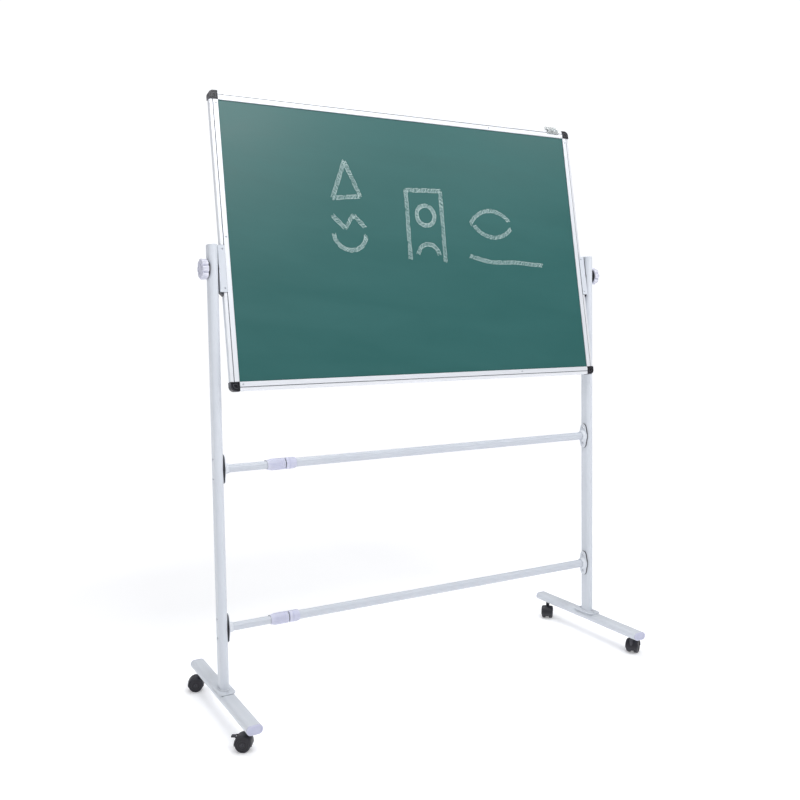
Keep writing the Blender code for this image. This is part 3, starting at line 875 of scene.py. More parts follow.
@dataclass(frozen=True)
class StudioFloor(Finish):
    """White seamless paper with a faint mottle, lit from behind as on a light table."""

    name: str = "white seamless studio paper"
    slot: Slot | None = None
    roughness: float = 0.9
    colour: str = "#fbfbfc"
    second_colour: str = "#f7f7f9"
    cloud_mm: float = 400.0
    cloud_detail: float = 3.0
    near: float = 1.5
    far: float = 6.0
    near_backlight: float = 0.28
    far_backlight: float = 0.66

    def dress(self, tree: Tree, shader: bpy.types.Node, place: Socket) -> None:
        """Adds the light from behind, which is strongest far off."""
        super().dress(tree, shader, place)
        tint = shader.inputs["Base Color"].links[0].from_socket
        tree.links.new(tint, shader.inputs["Emission Color"])
        distance = add_node(tree, "ShaderNodeVectorMath", {0: place}, operation="LENGTH")
        glow = add_node(
            tree,
            "ShaderNodeMapRange",
            {
                "Value": distance.outputs["Value"],
                "From Min": self.near,
                "From Max": self.far,
                "To Min": self.near_backlight,
                "To Max": self.far_backlight,
            },
        )
        tree.links.new(glow.outputs["Result"], shader.inputs["Emission Strength"])


POWDER_COAT = PowderCoat()
# The white powder coat painted darker for the thin round tubes: painted shade for the lower light
# on their round sides. The real tubes have the same coat as the uprights.
SHADED_TUBE_COAT = PowderCoat(
    name="white powder coat on thin round tube",
    colour="#d0d4db",
    second_colour="#c3c8d1",
)
CLEAR_PLASTIC = ClearPlastic()
# Bright zinc plate on steel: grey-blue metal with faint cloudy passivation.
ZINC_PLATE = Finish(
    name="bright zinc plated steel",
    slot=Slot.ZINC,
    roughness=0.30,
    metallic=1.0,
    colour="#c3c7cf",
    second_colour="#a9adb8",
    rubbed_colour="#dfe2e6",
    cloud_mm=3.0,
    gloss_spread=0.08,
    relief_strength=0.15,
)
# White stick chalk: dry calcium carbonate powder, dead matt, thick and thin in patches.
STICK_CHALK = Finish(
    name="white stick chalk powder",
    slot=None,
    roughness=0.95,
    colour="#dfe8e8",
    second_colour="#8fb3b0",
    cloud_mm=3.5,
    cloud_detail=6.0,
    cloud_roughness=0.7,
    relief_strength=0.6,
    relief_depth_mm=0.15,
)
# Glossy ABS, as corner caps and washers are moulded in: near black, with pale scuffed edges.
BLACK_ABS = Moulding(
    name="glossy black moulded ABS",
    slot=Slot.BLACK_PLASTIC,
    roughness=0.30,
    colour="#111116",
    second_colour="#19191f",
    rubbed_colour="#77777f",
    rub=0.5,
    specular=0.25,
)
# Polypropylene tinted lilac: it lets a little light in, so its edges glow.
LILAC_POLYPROPYLENE = Moulding(
    name="lilac moulded polypropylene",
    slot=Slot.LILAC_PLASTIC,
    roughness=0.38,
    colour="#c6c8dc",
    second_colour="#b9bbd2",
    rubbed_colour="#dcdded",
    subsurface=0.15,
)
# White ABS with a soft gloss, as clamp knobs are moulded in.
WHITE_ABS = Moulding(
    name="white moulded ABS",
    slot=Slot.WHITE_PLASTIC,
    roughness=0.28,
    colour="#c6c7d6",
    second_colour="#b8bacb",
    rubbed_colour="#f3f3fb",
    subsurface=0.05,
)
# Glass-filled nylon, as castors are moulded in: satin black that scuffs to grey.
BLACK_NYLON = Moulding(
    name="satin black glass-filled nylon",
    slot=Slot.NYLON,
    roughness=0.42,
    colour="#16151d",
    second_colour="#1f1e27",
    rubbed_colour="#55555f",
    rub=0.4,
    grain_mm=0.9,
)


# Sub-assemblies


@dataclass
class Studio:
    """Pale floor, soft light and the camera."""

    floor_half: float = 60.0
    camera_place: Corner = (-1.3013, -2.2635, 1.0401)
    camera_azimuth: float = math.radians(29.068)
    camera_elevation: float = math.radians(-3.574)
    camera_roll: float = -0.01342
    lens: float = 39.934
    shift: Point = (-0.0122, -0.0248)
    sky: str = "#fcfdff"
    sky_seen: float = 1.08
    sky_light: float = 0.44
    aim: Corner = (0.0, 0.0, 1.1)
    softboxes: tuple[tuple[str, Corner, Point, float], ...] = (
        ("high front softbox", (0.0, -2.3, 3.6), (1.7, 1.3), 60.0),
        ("right front softbox", (2.3, -2.0, 3.3), (1.6, 1.0), 14.0),
        ("left window", (-4.0, -1.0, 2.4), (1.6, 2.4), 12.0),
        ("overhead softbox", (0.0, 1.4, 4.4), (3.4, 2.0), 66.0),
    )

    def build(self) -> list[bpy.types.Object]:
        """Sets the whole studio up.

        Returns:
            The floor, the only piece of it that shows.
        """
        self.set_camera()
        self.set_sky()
        for softbox in self.softboxes:
            self.add_softbox(*softbox)
        bpy.context.scene.view_settings.view_transform = "Standard"
        return [self.lay_floor()]

    def set_camera(self) -> None:
        """Puts the camera in place and makes it the scene's."""
        azimuth, elevation = self.camera_azimuth, self.camera_elevation
        ahead = Vector(
            (
                math.sin(azimuth) * math.cos(elevation),
                math.cos(azimuth) * math.cos(elevation),
                math.sin(elevation),
            )
        )
        right = ahead.cross(Vector((0, 0, 1))).normalized()
        up = right.cross(ahead)
        lean, keep = math.sin(self.camera_roll), math.cos(self.camera_roll)
        across, above = keep * right + lean * up, keep * up - lean * right
        camera = bpy.data.cameras.new("studio camera")
        camera.lens = self.lens
        camera.shift_x, camera.shift_y = self.shift
        holder = bpy.data.objects.new("studio camera", camera)
        turn = Matrix((across, above, -ahead)).transposed().to_4x4()
        holder.matrix_world = Matrix.Translation(self.camera_place) @ turn
        bpy.context.scene.collection.objects.link(holder)
        bpy.context.scene.camera = holder

    def set_sky(self) -> None:
        """An even pale surround, which lights the object a little less than it shows."""
        world = bpy.data.worlds.new("pale surround")
        world.use_nodes = True
        tree = world.node_tree
        background = tree.nodes["Background"]
        background.inputs["Color"].default_value = linear(self.sky)
        seen = add_node(tree, "ShaderNodeLightPath").outputs["Is Camera Ray"]
        strength = add_node(
            tree,
            "ShaderNodeMapRange",
            {"Value": seen, "To Min": self.sky_light, "To Max": self.sky_seen},
        )
        tree.links.new(strength.outputs["Result"], background.inputs["Strength"])
        bpy.context.scene.world = world

    def add_softbox(self, name: str, place: Corner, size: Point, power: float) -> None:
        """Adds one soft light that looks at the board.

        Args:
            name: The light's name.
            place: Where it stands.
            size: Its width and height.
            power: Its power in watts.
        """
        light = bpy.data.lights.new(name, "AREA")
        light.shape = "RECTANGLE"
        light.size, light.size_y = size
        light.energy = power
        holder = bpy.data.objects.new(name, light)
        aim = Vector(self.aim) - Vector(place)
        turn = aim.to_track_quat("-Z", "Y").to_matrix().to_4x4()
        holder.matrix_world = Matrix.Translation(place) @ turn
        bpy.context.scene.collection.objects.link(holder)

    def lay_floor(self) -> bpy.types.Object:
        """Lays the floor.

        Returns:
            The floor.
        """
        blank = Blank()
        bmesh.ops.create_grid(blank.bm, x_segments=1, y_segments=1, size=self.floor_half)
        mesh = bpy.data.meshes.new("studio_floor")
        blank.bm.to_mesh(mesh)
        blank.bm.free()
        mesh.materials.append(StudioFloor().material())
        floor = bpy.data.objects.new("studio_floor", mesh)
        bpy.context.scene.collection.objects.link(floor)
        return floor


@dataclass
class SideFrame:
    """One upright on its foot, with the foot's end caps and the screws through both."""

    side: Side
    tube_width: float = 0.024
    tube_depth: float = 0.042
    top_rounding: float = 0.0022
    plate_size: Point = (0.044, 0.090)
    plate_corner: float = 0.014
    plate_thickness: float = 0.003
    plate_rounding: float = 0.0009
    weld_width: float = 0.0028
    plate_screw_y: float = 0.0345
    cap_lip: float = 0.004
    tube_screw_offset: float = 0.026
    plate_screw: Point = (0.0048, 0.0026)
    tube_screw: Point = (0.0042, 0.0022)
    foot_rounding: float = 0.0006
    cap_rounding: float = 0.0014
    cap_dish: Point = (0.0022, -0.0009)

    def build(self) -> list[bpy.types.Object]:
        """Builds and dresses the side frame.

        Returns:
            Its finished pieces.
        """
        return [
            self.upright(),
            self.base_plate(),
            self.plate_screws(),
            self.outer_screws(),
            self.foot(),
            *(self.end_cap(end) for end in End),
        ]

    def at_base(self) -> Vector:
        """The middle of the base plate's underside."""
        low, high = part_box(f"{self.side.label}_upright")
        return Vector(((low.x + high.x) / 2, 0, low.z))

    def upright(self) -> bpy.types.Object:
        """The flat-oval tube, its top closed and rounded."""
        low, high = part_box(f"{self.side.label}_upright")
        blank = Blank.oval(self.tube_width, self.tube_depth, high.z - low.z)
        blank.soften(self.top_rounding, 3, lambda edge: edge.verts[0].co.z > 0.5)
        name = f"{self.side.label}_upright_tube"
        replaced = [f"{self.side.label}_upright"]
        return blank.finish(
            name, "stand", POWDER_COAT, replaced, Matrix.Translation(self.at_base())
        )

    def base_plate(self) -> bpy.types.Object:
        """The round-cornered plate, with the weld that joins it to the tube."""
        half_x, half_y = (size / 2 for size in self.plate_size)
        blank = Blank.block((-half_x, -half_y, 0), (half_x, half_y, self.plate_thickness))
        blank.soften(self.plate_corner, 8, is_along_z)
        blank.soften(self.plate_rounding, 2, is_raised)
        weld = Blank.oval(
            self.tube_width + 2 * self.weld_width,
            self.tube_depth + 2 * self.weld_width,
            self.plate_thickness + self.weld_width,
        )
        weld.soften(0.85 * self.weld_width, 3, is_raised)
        blank.add(weld)
        name = f"{self.side.label}_base_plate"
        return blank.finish(
            name, "stand", POWDER_COAT, matrix=Matrix.Translation(self.at_base())
        )

    def plate_screws(self) -> bpy.types.Object:
        """The two screws that hold the plate to the foot."""
        top = self.at_base() + Vector((0, 0, self.plate_thickness))
        places = [
            Matrix.Translation(top + Vector((0, end.value * self.plate_screw_y, 0))) for end in End
        ]
        blank = screws(*self.plate_screw, places)
        return blank.finish(f"{self.side.label}_base_plate_screws", "stand", POWDER_COAT)

    def outer_screws(self) -> bpy.types.Object:
        """The crossbar flanges' screws, whose heads show on the tube's outer side."""
        sign = self.side.value
        face = self.at_base().x + sign * self.tube_width / 2
        outwards = Matrix.Rotation(sign * QUARTER_TURN, 4, "Y")
        places = [
            Matrix.Translation((face, 0, bar + offset)) @ outwards
            for bar in (middle("lower_thin_tube").z, middle("upper_thin_tube").z)
            for offset in (-self.tube_screw_offset, self.tube_screw_offset)
        ]
        blank = screws(*self.tube_screw, places)
        return blank.finish(f"{self.side.label}_upright_screws", "stand", ZINC_PLATE)

    def foot(self) -> bpy.types.Object:
        """The flat-oval tube that lies along Y."""
        name = f"{self.side.label}_foot"
        low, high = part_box(name)
        blank = Blank.oval(high.z - low.z, high.x - low.x, high.y - low.y)
        blank.soften(self.foot_rounding)
        lying = Matrix.Rotation(QUARTER_TURN, 4, "X") @ Matrix.Rotation(QUARTER_TURN, 4, "Z")
        start = Matrix.Translation((middle(name).x, high.y, middle(name).z))
        return blank.finish(f"{name}_tube", "stand", POWDER_COAT, [name], start @ lying)

    def end_cap(self, end: End) -> bpy.types.Object:
        """The moulded cap in one end of the foot.

        Args:
            end: Which end.

        Returns:
            The finished cap.
        """
        foot, node = f"{self.side.label}_foot", f"{self.side.label}_foot_{end.label}_cap"
        low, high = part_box(foot)
        blank = Blank.oval(high.z - low.z, high.x - low.x, self.cap_lip)
        blank.soften(self.cap_rounding, 3, is_raised)
        blank.step((0, 0, 1), *self.cap_dish)
        outwards = Matrix.Rotation(-end.value * QUARTER_TURN, 4, "X")
        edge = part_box(node)[0 if end is End.FRONT else 1].y
        start = Vector((middle(foot).x, edge - end.value * self.cap_lip, middle(foot).z))
        lying = Matrix.Translation(start) @ outwards @ Matrix.Rotation(QUARTER_TURN, 4, "Z")
        return blank.finish(f"{node}_moulding", "stand", LILAC_POLYPROPYLENE, [node], lying)


def is_raised(edge: bmesh.types.BMEdge) -> bool:
    """Whether an edge starts clear of the underside, which lies on z = 0."""
    return edge.verts[0].co.z > UNDERSIDE


def is_along_z(edge: bmesh.types.BMEdge) -> bool:
    """Whether an edge stands along Z."""
    start, end = (vert.co for vert in edge.verts)
    return (start.xy - end.xy).length < WELD_DISTANCE


@dataclass
class Crossbar:
    """Two telescoping tubes, their flanges on the uprights, and the twist lock."""

    level: str
    wall: float = 0.0012
    flange_middle_radius: float = 0.019
    flange_end_radius: float = 0.013
    screw_offset: float = 0.026
    screw: Point = (0.0046, 0.0022)
    pad_thickness: float = 0.0028
    plate_thickness: float = 0.0026
    boss_wall: float = 0.0026
    boss_fillet: float = 0.0055
    boss_reach: float = 0.0165
    sleeve_flutes: int = 20
    flute_depth: float = 0.00035
    button_radius: float = 0.0024

    def build(self) -> list[bpy.types.Object]:
        """Builds and dresses the crossbar.

        Returns:
            Its finished pieces.
        """
        pieces = [self.tube("thin"), self.tube("thick"), self.sleeve(), self.collar()]
        pieces.append(self.snap_button())
        for side in Side:
            pieces += self.flange(side)
        return pieces

    def on_axis(self) -> Matrix:
        """Turns local Z along the bar."""
        return Matrix.Translation((0, 0, middle(f"{self.level}_thin_tube").z)) @ ALONG_X

    def radius(self, which: str) -> float:
        """The outer radius of the thin or the thick tube."""
        low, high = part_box(f"{self.level}_{which}_tube")
        return (high.z - low.z) / 2

    def tube(self, which: str) -> bpy.types.Object:
        """One of the two tubes.

        Args:
            which: "thin" or "thick".

        Returns:
            The finished tube.
        """
        node = f"{self.level}_{which}_tube"
        low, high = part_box(node)
        outer = self.radius(which)
        blank = ring(outer, outer - self.wall, low.x, high.x, 0.0004)
        # The thin tubes take the darker coat, which is painted shade.
        return blank.finish(f"{node}_drawn", "stand", SHADED_TUBE_COAT, [node], self.on_axis())

    def sleeve(self) -> bpy.types.Object:
        """The lock's turning sleeve: a tapered nose, a fluted grip and two rings."""
        node = f"{self.level}_lock_sleeve"
        low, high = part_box(node)
        start, end, outer = low.x, high.x, (high.z - low.z) / 2
        bore = self.radius("thin") + 0.0006
        profile = [
            (bore, end),
            (bore, start),
            (outer - 0.0034, start),
            (outer - 0.0008, start + 0.010),
            (outer, start + 0.014),
            (outer, start + 0.020),
            (outer, end - 0.016),
            (outer, end - 0.0125),
            (outer - 0.0006, end - 0.0118),
            (outer - 0.0006, end - 0.0102),
            (outer, end - 0.0095),
            (outer, end - 0.0068),
            (outer - 0.0006, end - 0.0061),
            (outer - 0.0006, end - 0.0045),
            (outer, end - 0.0038),
            (outer, end - 0.0010),
            (outer - 0.0010, end),
        ]
        blank = Blank.turning(profile, closed=True, steps=4 * self.sleeve_flutes)

        def flute(place: Vector) -> None:
            """Sinks the grip's flutes."""
            on_grip = start + 0.019 < place.z < end - 0.015 and place.xy.length > outer - 0.0001
            if on_grip:
                wave = math.cos(self.sleeve_flutes * math.atan2(place.y, place.x))
                place.xy *= 1 - self.flute_depth * (1 - wave) / outer

        blank.reshape(flute)
        name = f"{self.level}_lock_grip"
        return blank.finish(name, node, LILAC_POLYPROPYLENE, [node], self.on_axis())

    def collar(self) -> bpy.types.Object:
        """The lock's fixed collar, with a ring groove."""
        node = f"{self.level}_lock_collar"
        low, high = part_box(node)
        start, end, outer = low.x, high.x, (high.z - low.z) / 2
        bore = self.radius("thick") + 0.0003
        profile = [
            (bore, end),
            (bore, start),
            (outer - 0.0012, start),
            (outer, start + 0.0012),
            (outer, start + 0.0085),
            (outer - 0.0006, start + 0.0092),
            (outer - 0.0006, start + 0.0108),
            (outer, start + 0.0115),
            (outer, end - 0.0070),
            (outer - 0.0016, end - 0.0004),
            (outer - 0.0020, end),
        ]
        blank = Blank.turning(profile, closed=True)
        name = f"{self.level}_lock_ring"
        return blank.finish(name, "stand", LILAC_POLYPROPYLENE, [node], self.on_axis())

    def snap_button(self) -> bpy.types.Object:
        """The small button that stands in the thin tube beside the sleeve."""
        radius = self.button_radius
        dome = [(0, 0), (radius, 0), (radius, 0.0018), (0.75 * radius, 0.0030), (0, 0.0034)]
        blank = Blank.turning(dome, steps=24)
        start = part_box(f"{self.level}_lock_sleeve")[0].x - 1.5 * radius
        height = middle(f"{self.level}_thin_tube").z + self.radius("thin") - 0.0004
        place = Matrix.Translation((start, 0, height))
        return blank.finish(f"{self.level}_snap_button", "stand", ZINC_PLATE, matrix=place)

    def lobed_plate(self, thickness: float, grow: float = 0.0) -> Blank:
        """A round plate drawn out to a lobe at each screw.

        Args:
            thickness: How far it reaches up from z = 0.
            grow: How much wider it is all round than the flange.

        Returns:
            The new blank.
        """
        blank = Blank()
        discs = [(0, self.flange_middle_radius)]
        discs += [(way * self.screw_offset, self.flange_end_radius) for way in (-1, 1)]
        for height in (0, thickness):
            for offset, radius in discs:
                bmesh.ops.create_circle(
                    blank.bm,
                    radius=radius + grow,
                    segments=ROUND_STEPS,
                    matrix=Matrix.Translation((0, offset, height)),
                )
        bmesh.ops.convex_hull(blank.bm, input=blank.bm.verts)
        loose = [vert for vert in blank.bm.verts if not vert.link_faces]
        bmesh.ops.delete(blank.bm, geom=loose, context="VERTS")
        wires = [edge for edge in blank.bm.edges if not edge.link_faces]
        bmesh.ops.delete(blank.bm, geom=wires, context="EDGES")
        bmesh.ops.dissolve_limit(
            blank.bm, angle_limit=math.radians(0.5), verts=blank.bm.verts, edges=blank.bm.edges
        )
        return blank.weld()

    def flange(self, side: Side) -> list[bpy.types.Object]:
        """The cast flange at one end, its rubber pad and its two screws.

        Args:
            side: Which end.

        Returns:
            The three finished pieces.
        """
        sign, node = side.value, f"{self.level}_{side.label}_flange"
        low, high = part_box(node)
        face = (high if side is Side.RIGHT else low).x
        inwards = Matrix.Rotation(-sign * QUARTER_TURN, 4, "Y") @ Matrix.Rotation(
            QUARTER_TURN, 4, "Z"
        )
        place = Matrix.Translation((face, 0, middle(node).z)) @ inwards
        pad = self.lobed_plate(self.pad_thickness, 0.0004).soften(0.0005)
        plate = self.lobed_plate(self.plate_thickness).soften(0.0009, 3)
        plate.move(Matrix.Translation((0, 0, self.pad_thickness)))
        plate.add(self.boss(self.radius("thin" if side is Side.LEFT else "thick")))
        top = self.pad_thickness + self.plate_thickness
        places = [place @ Matrix.Translation((0, way * self.screw_offset, top)) for way in (-1, 1)]
        return [
            pad.finish(f"{node}_pad", "stand", BLACK_ABS, matrix=place),
            plate.finish(f"{node}_casting", "stand", POWDER_COAT, [node], place),
            screws(*self.screw, places).finish(f"{node}_screws", "stand", ZINC_PLATE),
        ]

    def boss(self, tube_radius: float) -> Blank:
        """The socket that the tube goes into, filleted down to the plate.

        Args:
            tube_radius: The tube's outer radius.

        Returns:
            The new blank.
        """
        foot, fillet = self.pad_thickness + 0.4 * self.plate_thickness, self.boss_fillet
        base = self.pad_thickness + self.plate_thickness
        wall, bore = tube_radius + self.boss_wall, tube_radius + 0.0002
        curve = [QUARTER_TURN * step / 5 for step in range(6)]
        profile = [
            (wall + fillet * (1 - math.cos(a)), base + fillet * (1 - math.sin(a))) for a in curve
        ]
        lip = [
            (wall, self.boss_reach - 0.0010),
            (wall - 0.0010, self.boss_reach),
            (bore, self.boss_reach),
            (bore, foot),
            (wall + fillet, foot),
        ]
        return Blank.turning(profile[::-1] + lip, closed=True)


@dataclass
class Board:
    """The framed writing panel, in its own plane: x across, y through, z up."""

    lean: float = math.radians(9.3)
    centre_above_pivot: float = 0.080
    width: float = 1.200
    height: float = 0.800
    rail_face: float = 0.024
    rail_half_depth: float = 0.010
    panel_slot: float = 0.0065
    slot_floor: float = 0.008
    cap_proud: float = 0.001
    cap_corner: float = 0.014
    joint_gap: float = 0.0003
    screw_inset: float = 0.0174
    screw: Point = (0.0026, 0.0010)
    cap_steps: tuple[Point, ...] = ((0.0030, -0.0009), (0.0022, 0.0014), (0.0024, -0.0010))

    def build(self) -> list[bpy.types.Object]:
        """Builds the frame and dresses the panel's CAD nodes.

        Returns:
            The frame's finished pieces.
        """
        enamel = ChalkEnamel(lean=self.lean)
        for end in End:
            dress_node(f"{end.label}_chalk_sheet", enamel)
        dress_node("honeycomb_core", HoneycombCard())
        along = self.width - 2 * (self.rail_face + self.joint_gap)
        up = self.height - 2 * (self.rail_face + self.joint_gap)
        across = Aluminium(turn=(-self.lean, 0.0, 0.0))
        upwards = Aluminium(
            name="clear anodised aluminium drawn along z",
            turn=(-self.lean, 0.0, 0.0),
            stretch=(1.0, 1.0, 250.0),
        )
        pieces = [
            self.rail("left", up, 0, self.width / 2, upwards),
            self.rail("bottom", along, 1, self.height / 2, across),
            self.rail("right", up, 2, self.width / 2, upwards),
            self.rail("top", along, 3, self.height / 2, across),
        ]
        for turns, (right, above) in enumerate(((-1, -1), (1, -1), (1, 1), (-1, 1))):
            pieces.append(self.corner_cap(right, above, turns))
        pieces += [self.frame_screws(end) for end in End]
        return pieces

    def plane(self) -> Matrix:
        """Takes the board's own plane to its leaning place in the world."""
        pivot = Matrix.Translation(joint_place("board_tilt"))
        lean = Matrix.Rotation(-self.lean, 4, "X")
        return pivot @ lean @ Matrix.Translation((0, 0, self.centre_above_pivot))

    def rail(
        self, name: str, length: float, turns: int, reach: float, finish: Finish
    ) -> bpy.types.Object:
        """One extruded rail.

        Args:
            name: Which edge of the board it frames.
            length: Its length.
            turns: Quarter turns from the left edge.
            reach: How far its outer edge is from the board's centre.
            finish: What it is dressed in.

        Returns:
            The finished rail.
        """
        face, front = self.rail_face, self.rail_half_depth
        half = [
            (0.0, 0.0062),
            (0.0006, 0.0076),
            (0.0018, 0.0086),
            (0.0088, 0.0093),
            (0.0091, 0.0072),
            (0.0107, 0.0072),
            (0.0109, front),
            (0.0172, front + 0.0002),
            (face - 0.0008, front),
            (face, front - 0.0010),
            (face, self.panel_slot),
            (self.slot_floor, self.panel_slot),
        ]
        section = half + [(x, -y) for x, y in reversed(half)]
        blank = Blank.plate(section, length).soften(0.0002, 2)
        turn = Matrix.Rotation(-turns * QUARTER_TURN, 4, "Y")
        place = self.plane() @ turn @ Matrix.Translation((-reach, 0, -length / 2))
        return blank.finish(f"{name}_rail_extrusion", "board", finish, [f"{name}_rail"], place)

    def corner_cap(self, right: int, above: int, turns: int) -> bpy.types.Object:
        """One moulded corner, its face stepped round a raised bow.

        Args:
            right: -1 for a left corner, 1 for a right one.
            above: -1 for a bottom corner, 1 for a top one.
            turns: Quarter turns from the bottom left corner.

        Returns:
            The finished cap.
        """
        depth = self.rail_half_depth + self.cap_proud
        outer, inner = -self.cap_proud, self.rail_face
        blank = Blank.block((outer, outer, -depth + 0.0006), (inner, inner, depth - 0.0006))

        def is_outer_corner(edge: bmesh.types.BMEdge) -> bool:
            """Whether an edge is the one that the corner is rounded on."""
            return is_along_z(edge) and edge.verts[0].co.x + edge.verts[0].co.y < 0

        blank.soften(self.cap_corner, 12, is_outer_corner)
        blank.soften(0.0011, 3, lambda edge: not is_along_z(edge))
        for way in (-1, 1):
            for margin, depth_change in self.cap_steps:
                blank.step((0, 0, way), margin, depth_change)
        label = f"{'top' if above > 0 else 'bottom'}_{'right' if right > 0 else 'left'}_corner_cap"
        corner = Matrix.Translation((right * self.width / 2, 0, above * self.height / 2))
        turn = Matrix.Rotation(-turns * QUARTER_TURN, 4, "Y")
        place = self.plane() @ corner @ turn @ Matrix.Rotation(QUARTER_TURN, 4, "X")
        return blank.finish(f"{label}_moulding", "board", BLACK_ABS, [label], place)

    def frame_screws(self, end: End) -> bpy.types.Object:
        """The small screws that hold the rails and caps together on one face.

        Args:
            end: Which face.

        Returns:
            The finished set.
        """
        side, level = self.width / 2 - self.screw_inset, self.height / 2 - self.screw_inset
        spots = [(-side, 0.367), (-side, 0.005), (0.285, level), (0.319, -level)]
        spots += [(-0.567, -level), (side, 0.361)]
        outwards = Matrix.Rotation(-end.value * QUARTER_TURN, 4, "X")
        places = [
            self.plane() @ Matrix.Translation((x, end.value * self.rail_half_depth, z)) @ outwards
            for x, z in spots
        ]
        blank = screws(*self.screw, places)
        return blank.finish(f"{end.label}_frame_screws", "board", ZINC_PLATE)


def dress_node(name: str, finish: Finish) -> None:
    """Gives a CAD node that stays a better material.

    Args:
        name: The node's name.
        finish: What it is dressed in.
    """
    for slot in frame["nodes"][name].material_slots:
        slot.material = finish.material()


@dataclass
class ChalkDrawing:
    """Plain shapes drawn with the side of a chalk stick on the front face."""

    board: Board
    face_depth: float = 0.0062
    thickness: float = 0.00015
    stroke_width: float = 0.0135
    hatch_pitch: float = 0.0034
    hatch_width: float = 0.0017
    slant: float = math.radians(58)
    edge_pitch: float = 0.011
    edge_breaks: float = 0.22
    seed: int = 7

    def build(self) -> list[bpy.types.Object]:
        """Draws every shape.

        Returns:
            One piece for each group of shapes.
        """
        dice = random.Random(self.seed)
        return [self.draw(name, strokes, dice) for name, strokes in self.shapes().items()]

    def shapes(self) -> dict[str, list[list[Point]]]:
        """The groups of shapes, in metres from the board's centre.

        Returns:
            For each group's name, its strokes as lines of points.
        """
        triangle = [(-0.222, 0.238), (-0.266, 0.128), (-0.180, 0.138), (-0.222, 0.238)]
        zigzag = [(-0.272, 0.078), (-0.236, 0.044), (-0.206, 0.082), (-0.174, 0.048)]
        bowl = self.bow((-0.222, 0.030), 0.050, 185, 355)
        window = [(-0.034, -0.042), (-0.030, 0.166), (0.088, 0.170), (0.084, -0.046)]
        sun = self.bow((0.030, 0.092), 0.030, 20, 380)
        hill = self.bow((0.030, -0.030), 0.036, 10, 170)
        leaf_top = self.bow((0.262, 0.030), 0.088, 40, 150)
        leaf_bottom = self.bow((0.268, 0.120), 0.086, 215, 320)
        ground = [(0.172, -0.026), (0.250, -0.044), (0.340, -0.042), (0.442, -0.050)]
        return {
            "chalk_flask": [triangle, zigzag, bowl],
            "chalk_window": [window, sun, hill],
            "chalk_leaf": [leaf_top, leaf_bottom, ground],
        }

    def bow(self, centre: Point, radius: float, start: float, end: float) -> list[Point]:
        """Points along a bow.

        Args:
            centre: Its centre.
            radius: Its radius.
            start: Where it starts, in degrees.
            end: Where it ends.

        Returns:
            The points, about 10 degrees apart.
        """
        count = max(4, round(abs(end - start) / 10))
        angles = [math.radians(start + (end - start) * i / count) for i in range(count + 1)]
        x, y = centre
        return [(x + radius * math.cos(a), y + radius * math.sin(a)) for a in angles]

    def draw(self, name: str, strokes: list[list[Point]], dice: random.Random) -> bpy.types.Object:
        """Draws one group of shapes.

        Args:
            name: The piece's name.
            strokes: Its strokes as lines of points.
            dice: The source of the hand's unevenness.

        Returns:
            The finished piece.
        """
        blank = Blank()
        for stroke in strokes:
            for start, end in zip(stroke, stroke[1:]):
                self.hatch(blank, Vector(start), Vector(end), dice)
        place = self.board.plane() @ Matrix.Translation((0, -self.face_depth, 0))
        return blank.finish(name, "board", STICK_CHALK, matrix=place)

    def hatch(self, blank: Blank, start: Vector, end: Vector, dice: random.Random) -> None:
        """Fills one straight run of a stroke with slanting marks and broken edges.

        Args:
            blank: What the marks go into.
            start: Where the run starts.
            end: Where it ends.
            dice: The source of the hand's unevenness.
        """
        run = end - start
        heading = math.atan2(run.y, run.x)
        count = max(1, round(run.length / self.hatch_pitch))
        for i in range(count):
            at = start + run * ((i + dice.uniform(0.2, 0.8)) / count)
            length = self.stroke_width * dice.uniform(0.75, 1.15)
            width = self.hatch_width * dice.uniform(0.6, 1.3)
            self.mark(blank, at, heading + self.slant + dice.uniform(-0.15, 0.15), length, width)
        aside = Vector((-run.y, run.x)).normalized() * self.stroke_width * 0.42
        edge_count = max(1, round(run.length / self.edge_pitch))
        for way in (-1, 1):
            for i in range(edge_count):
                if dice.random() < self.edge_breaks:
                    continue
                share = (i + 0.5) / edge_count
                at = start + run * share + way * aside * dice.uniform(0.8, 1.1)
                turn = heading + dice.uniform(-0.08, 0.08)
                self.mark(blank, at, turn, dice.uniform(0.008, 0.0125), self.hatch_width)

    def mark(self, blank: Blank, at: Vector, turn: float, length: float, width: float) -> None:
        """Lays one thin mark of chalk.

        Args:
            blank: What the mark goes into.
            at: Its middle.
            turn: The way it runs, from +X towards +Z.
            length: Its length.
            width: Its width.
        """
        place = Matrix.Translation((at.x, -self.thickness / 2, at.y))
        place = place @ Matrix.Rotation(-turn, 4, "Y")
        size = Matrix.Diagonal((length, self.thickness, width, 1))
        made = bmesh.ops.create_cube(blank.bm, size=1, matrix=place @ size)["verts"]
        middle_point = place.translation
        run = place.to_3x3() @ Vector((1, 0, 0))
        for vert in made:
            along = (vert.co - middle_point).dot(run)
            across = (vert.co - middle_point) - along * run
            across.y = 0
            vert.co -= 0.5 * across


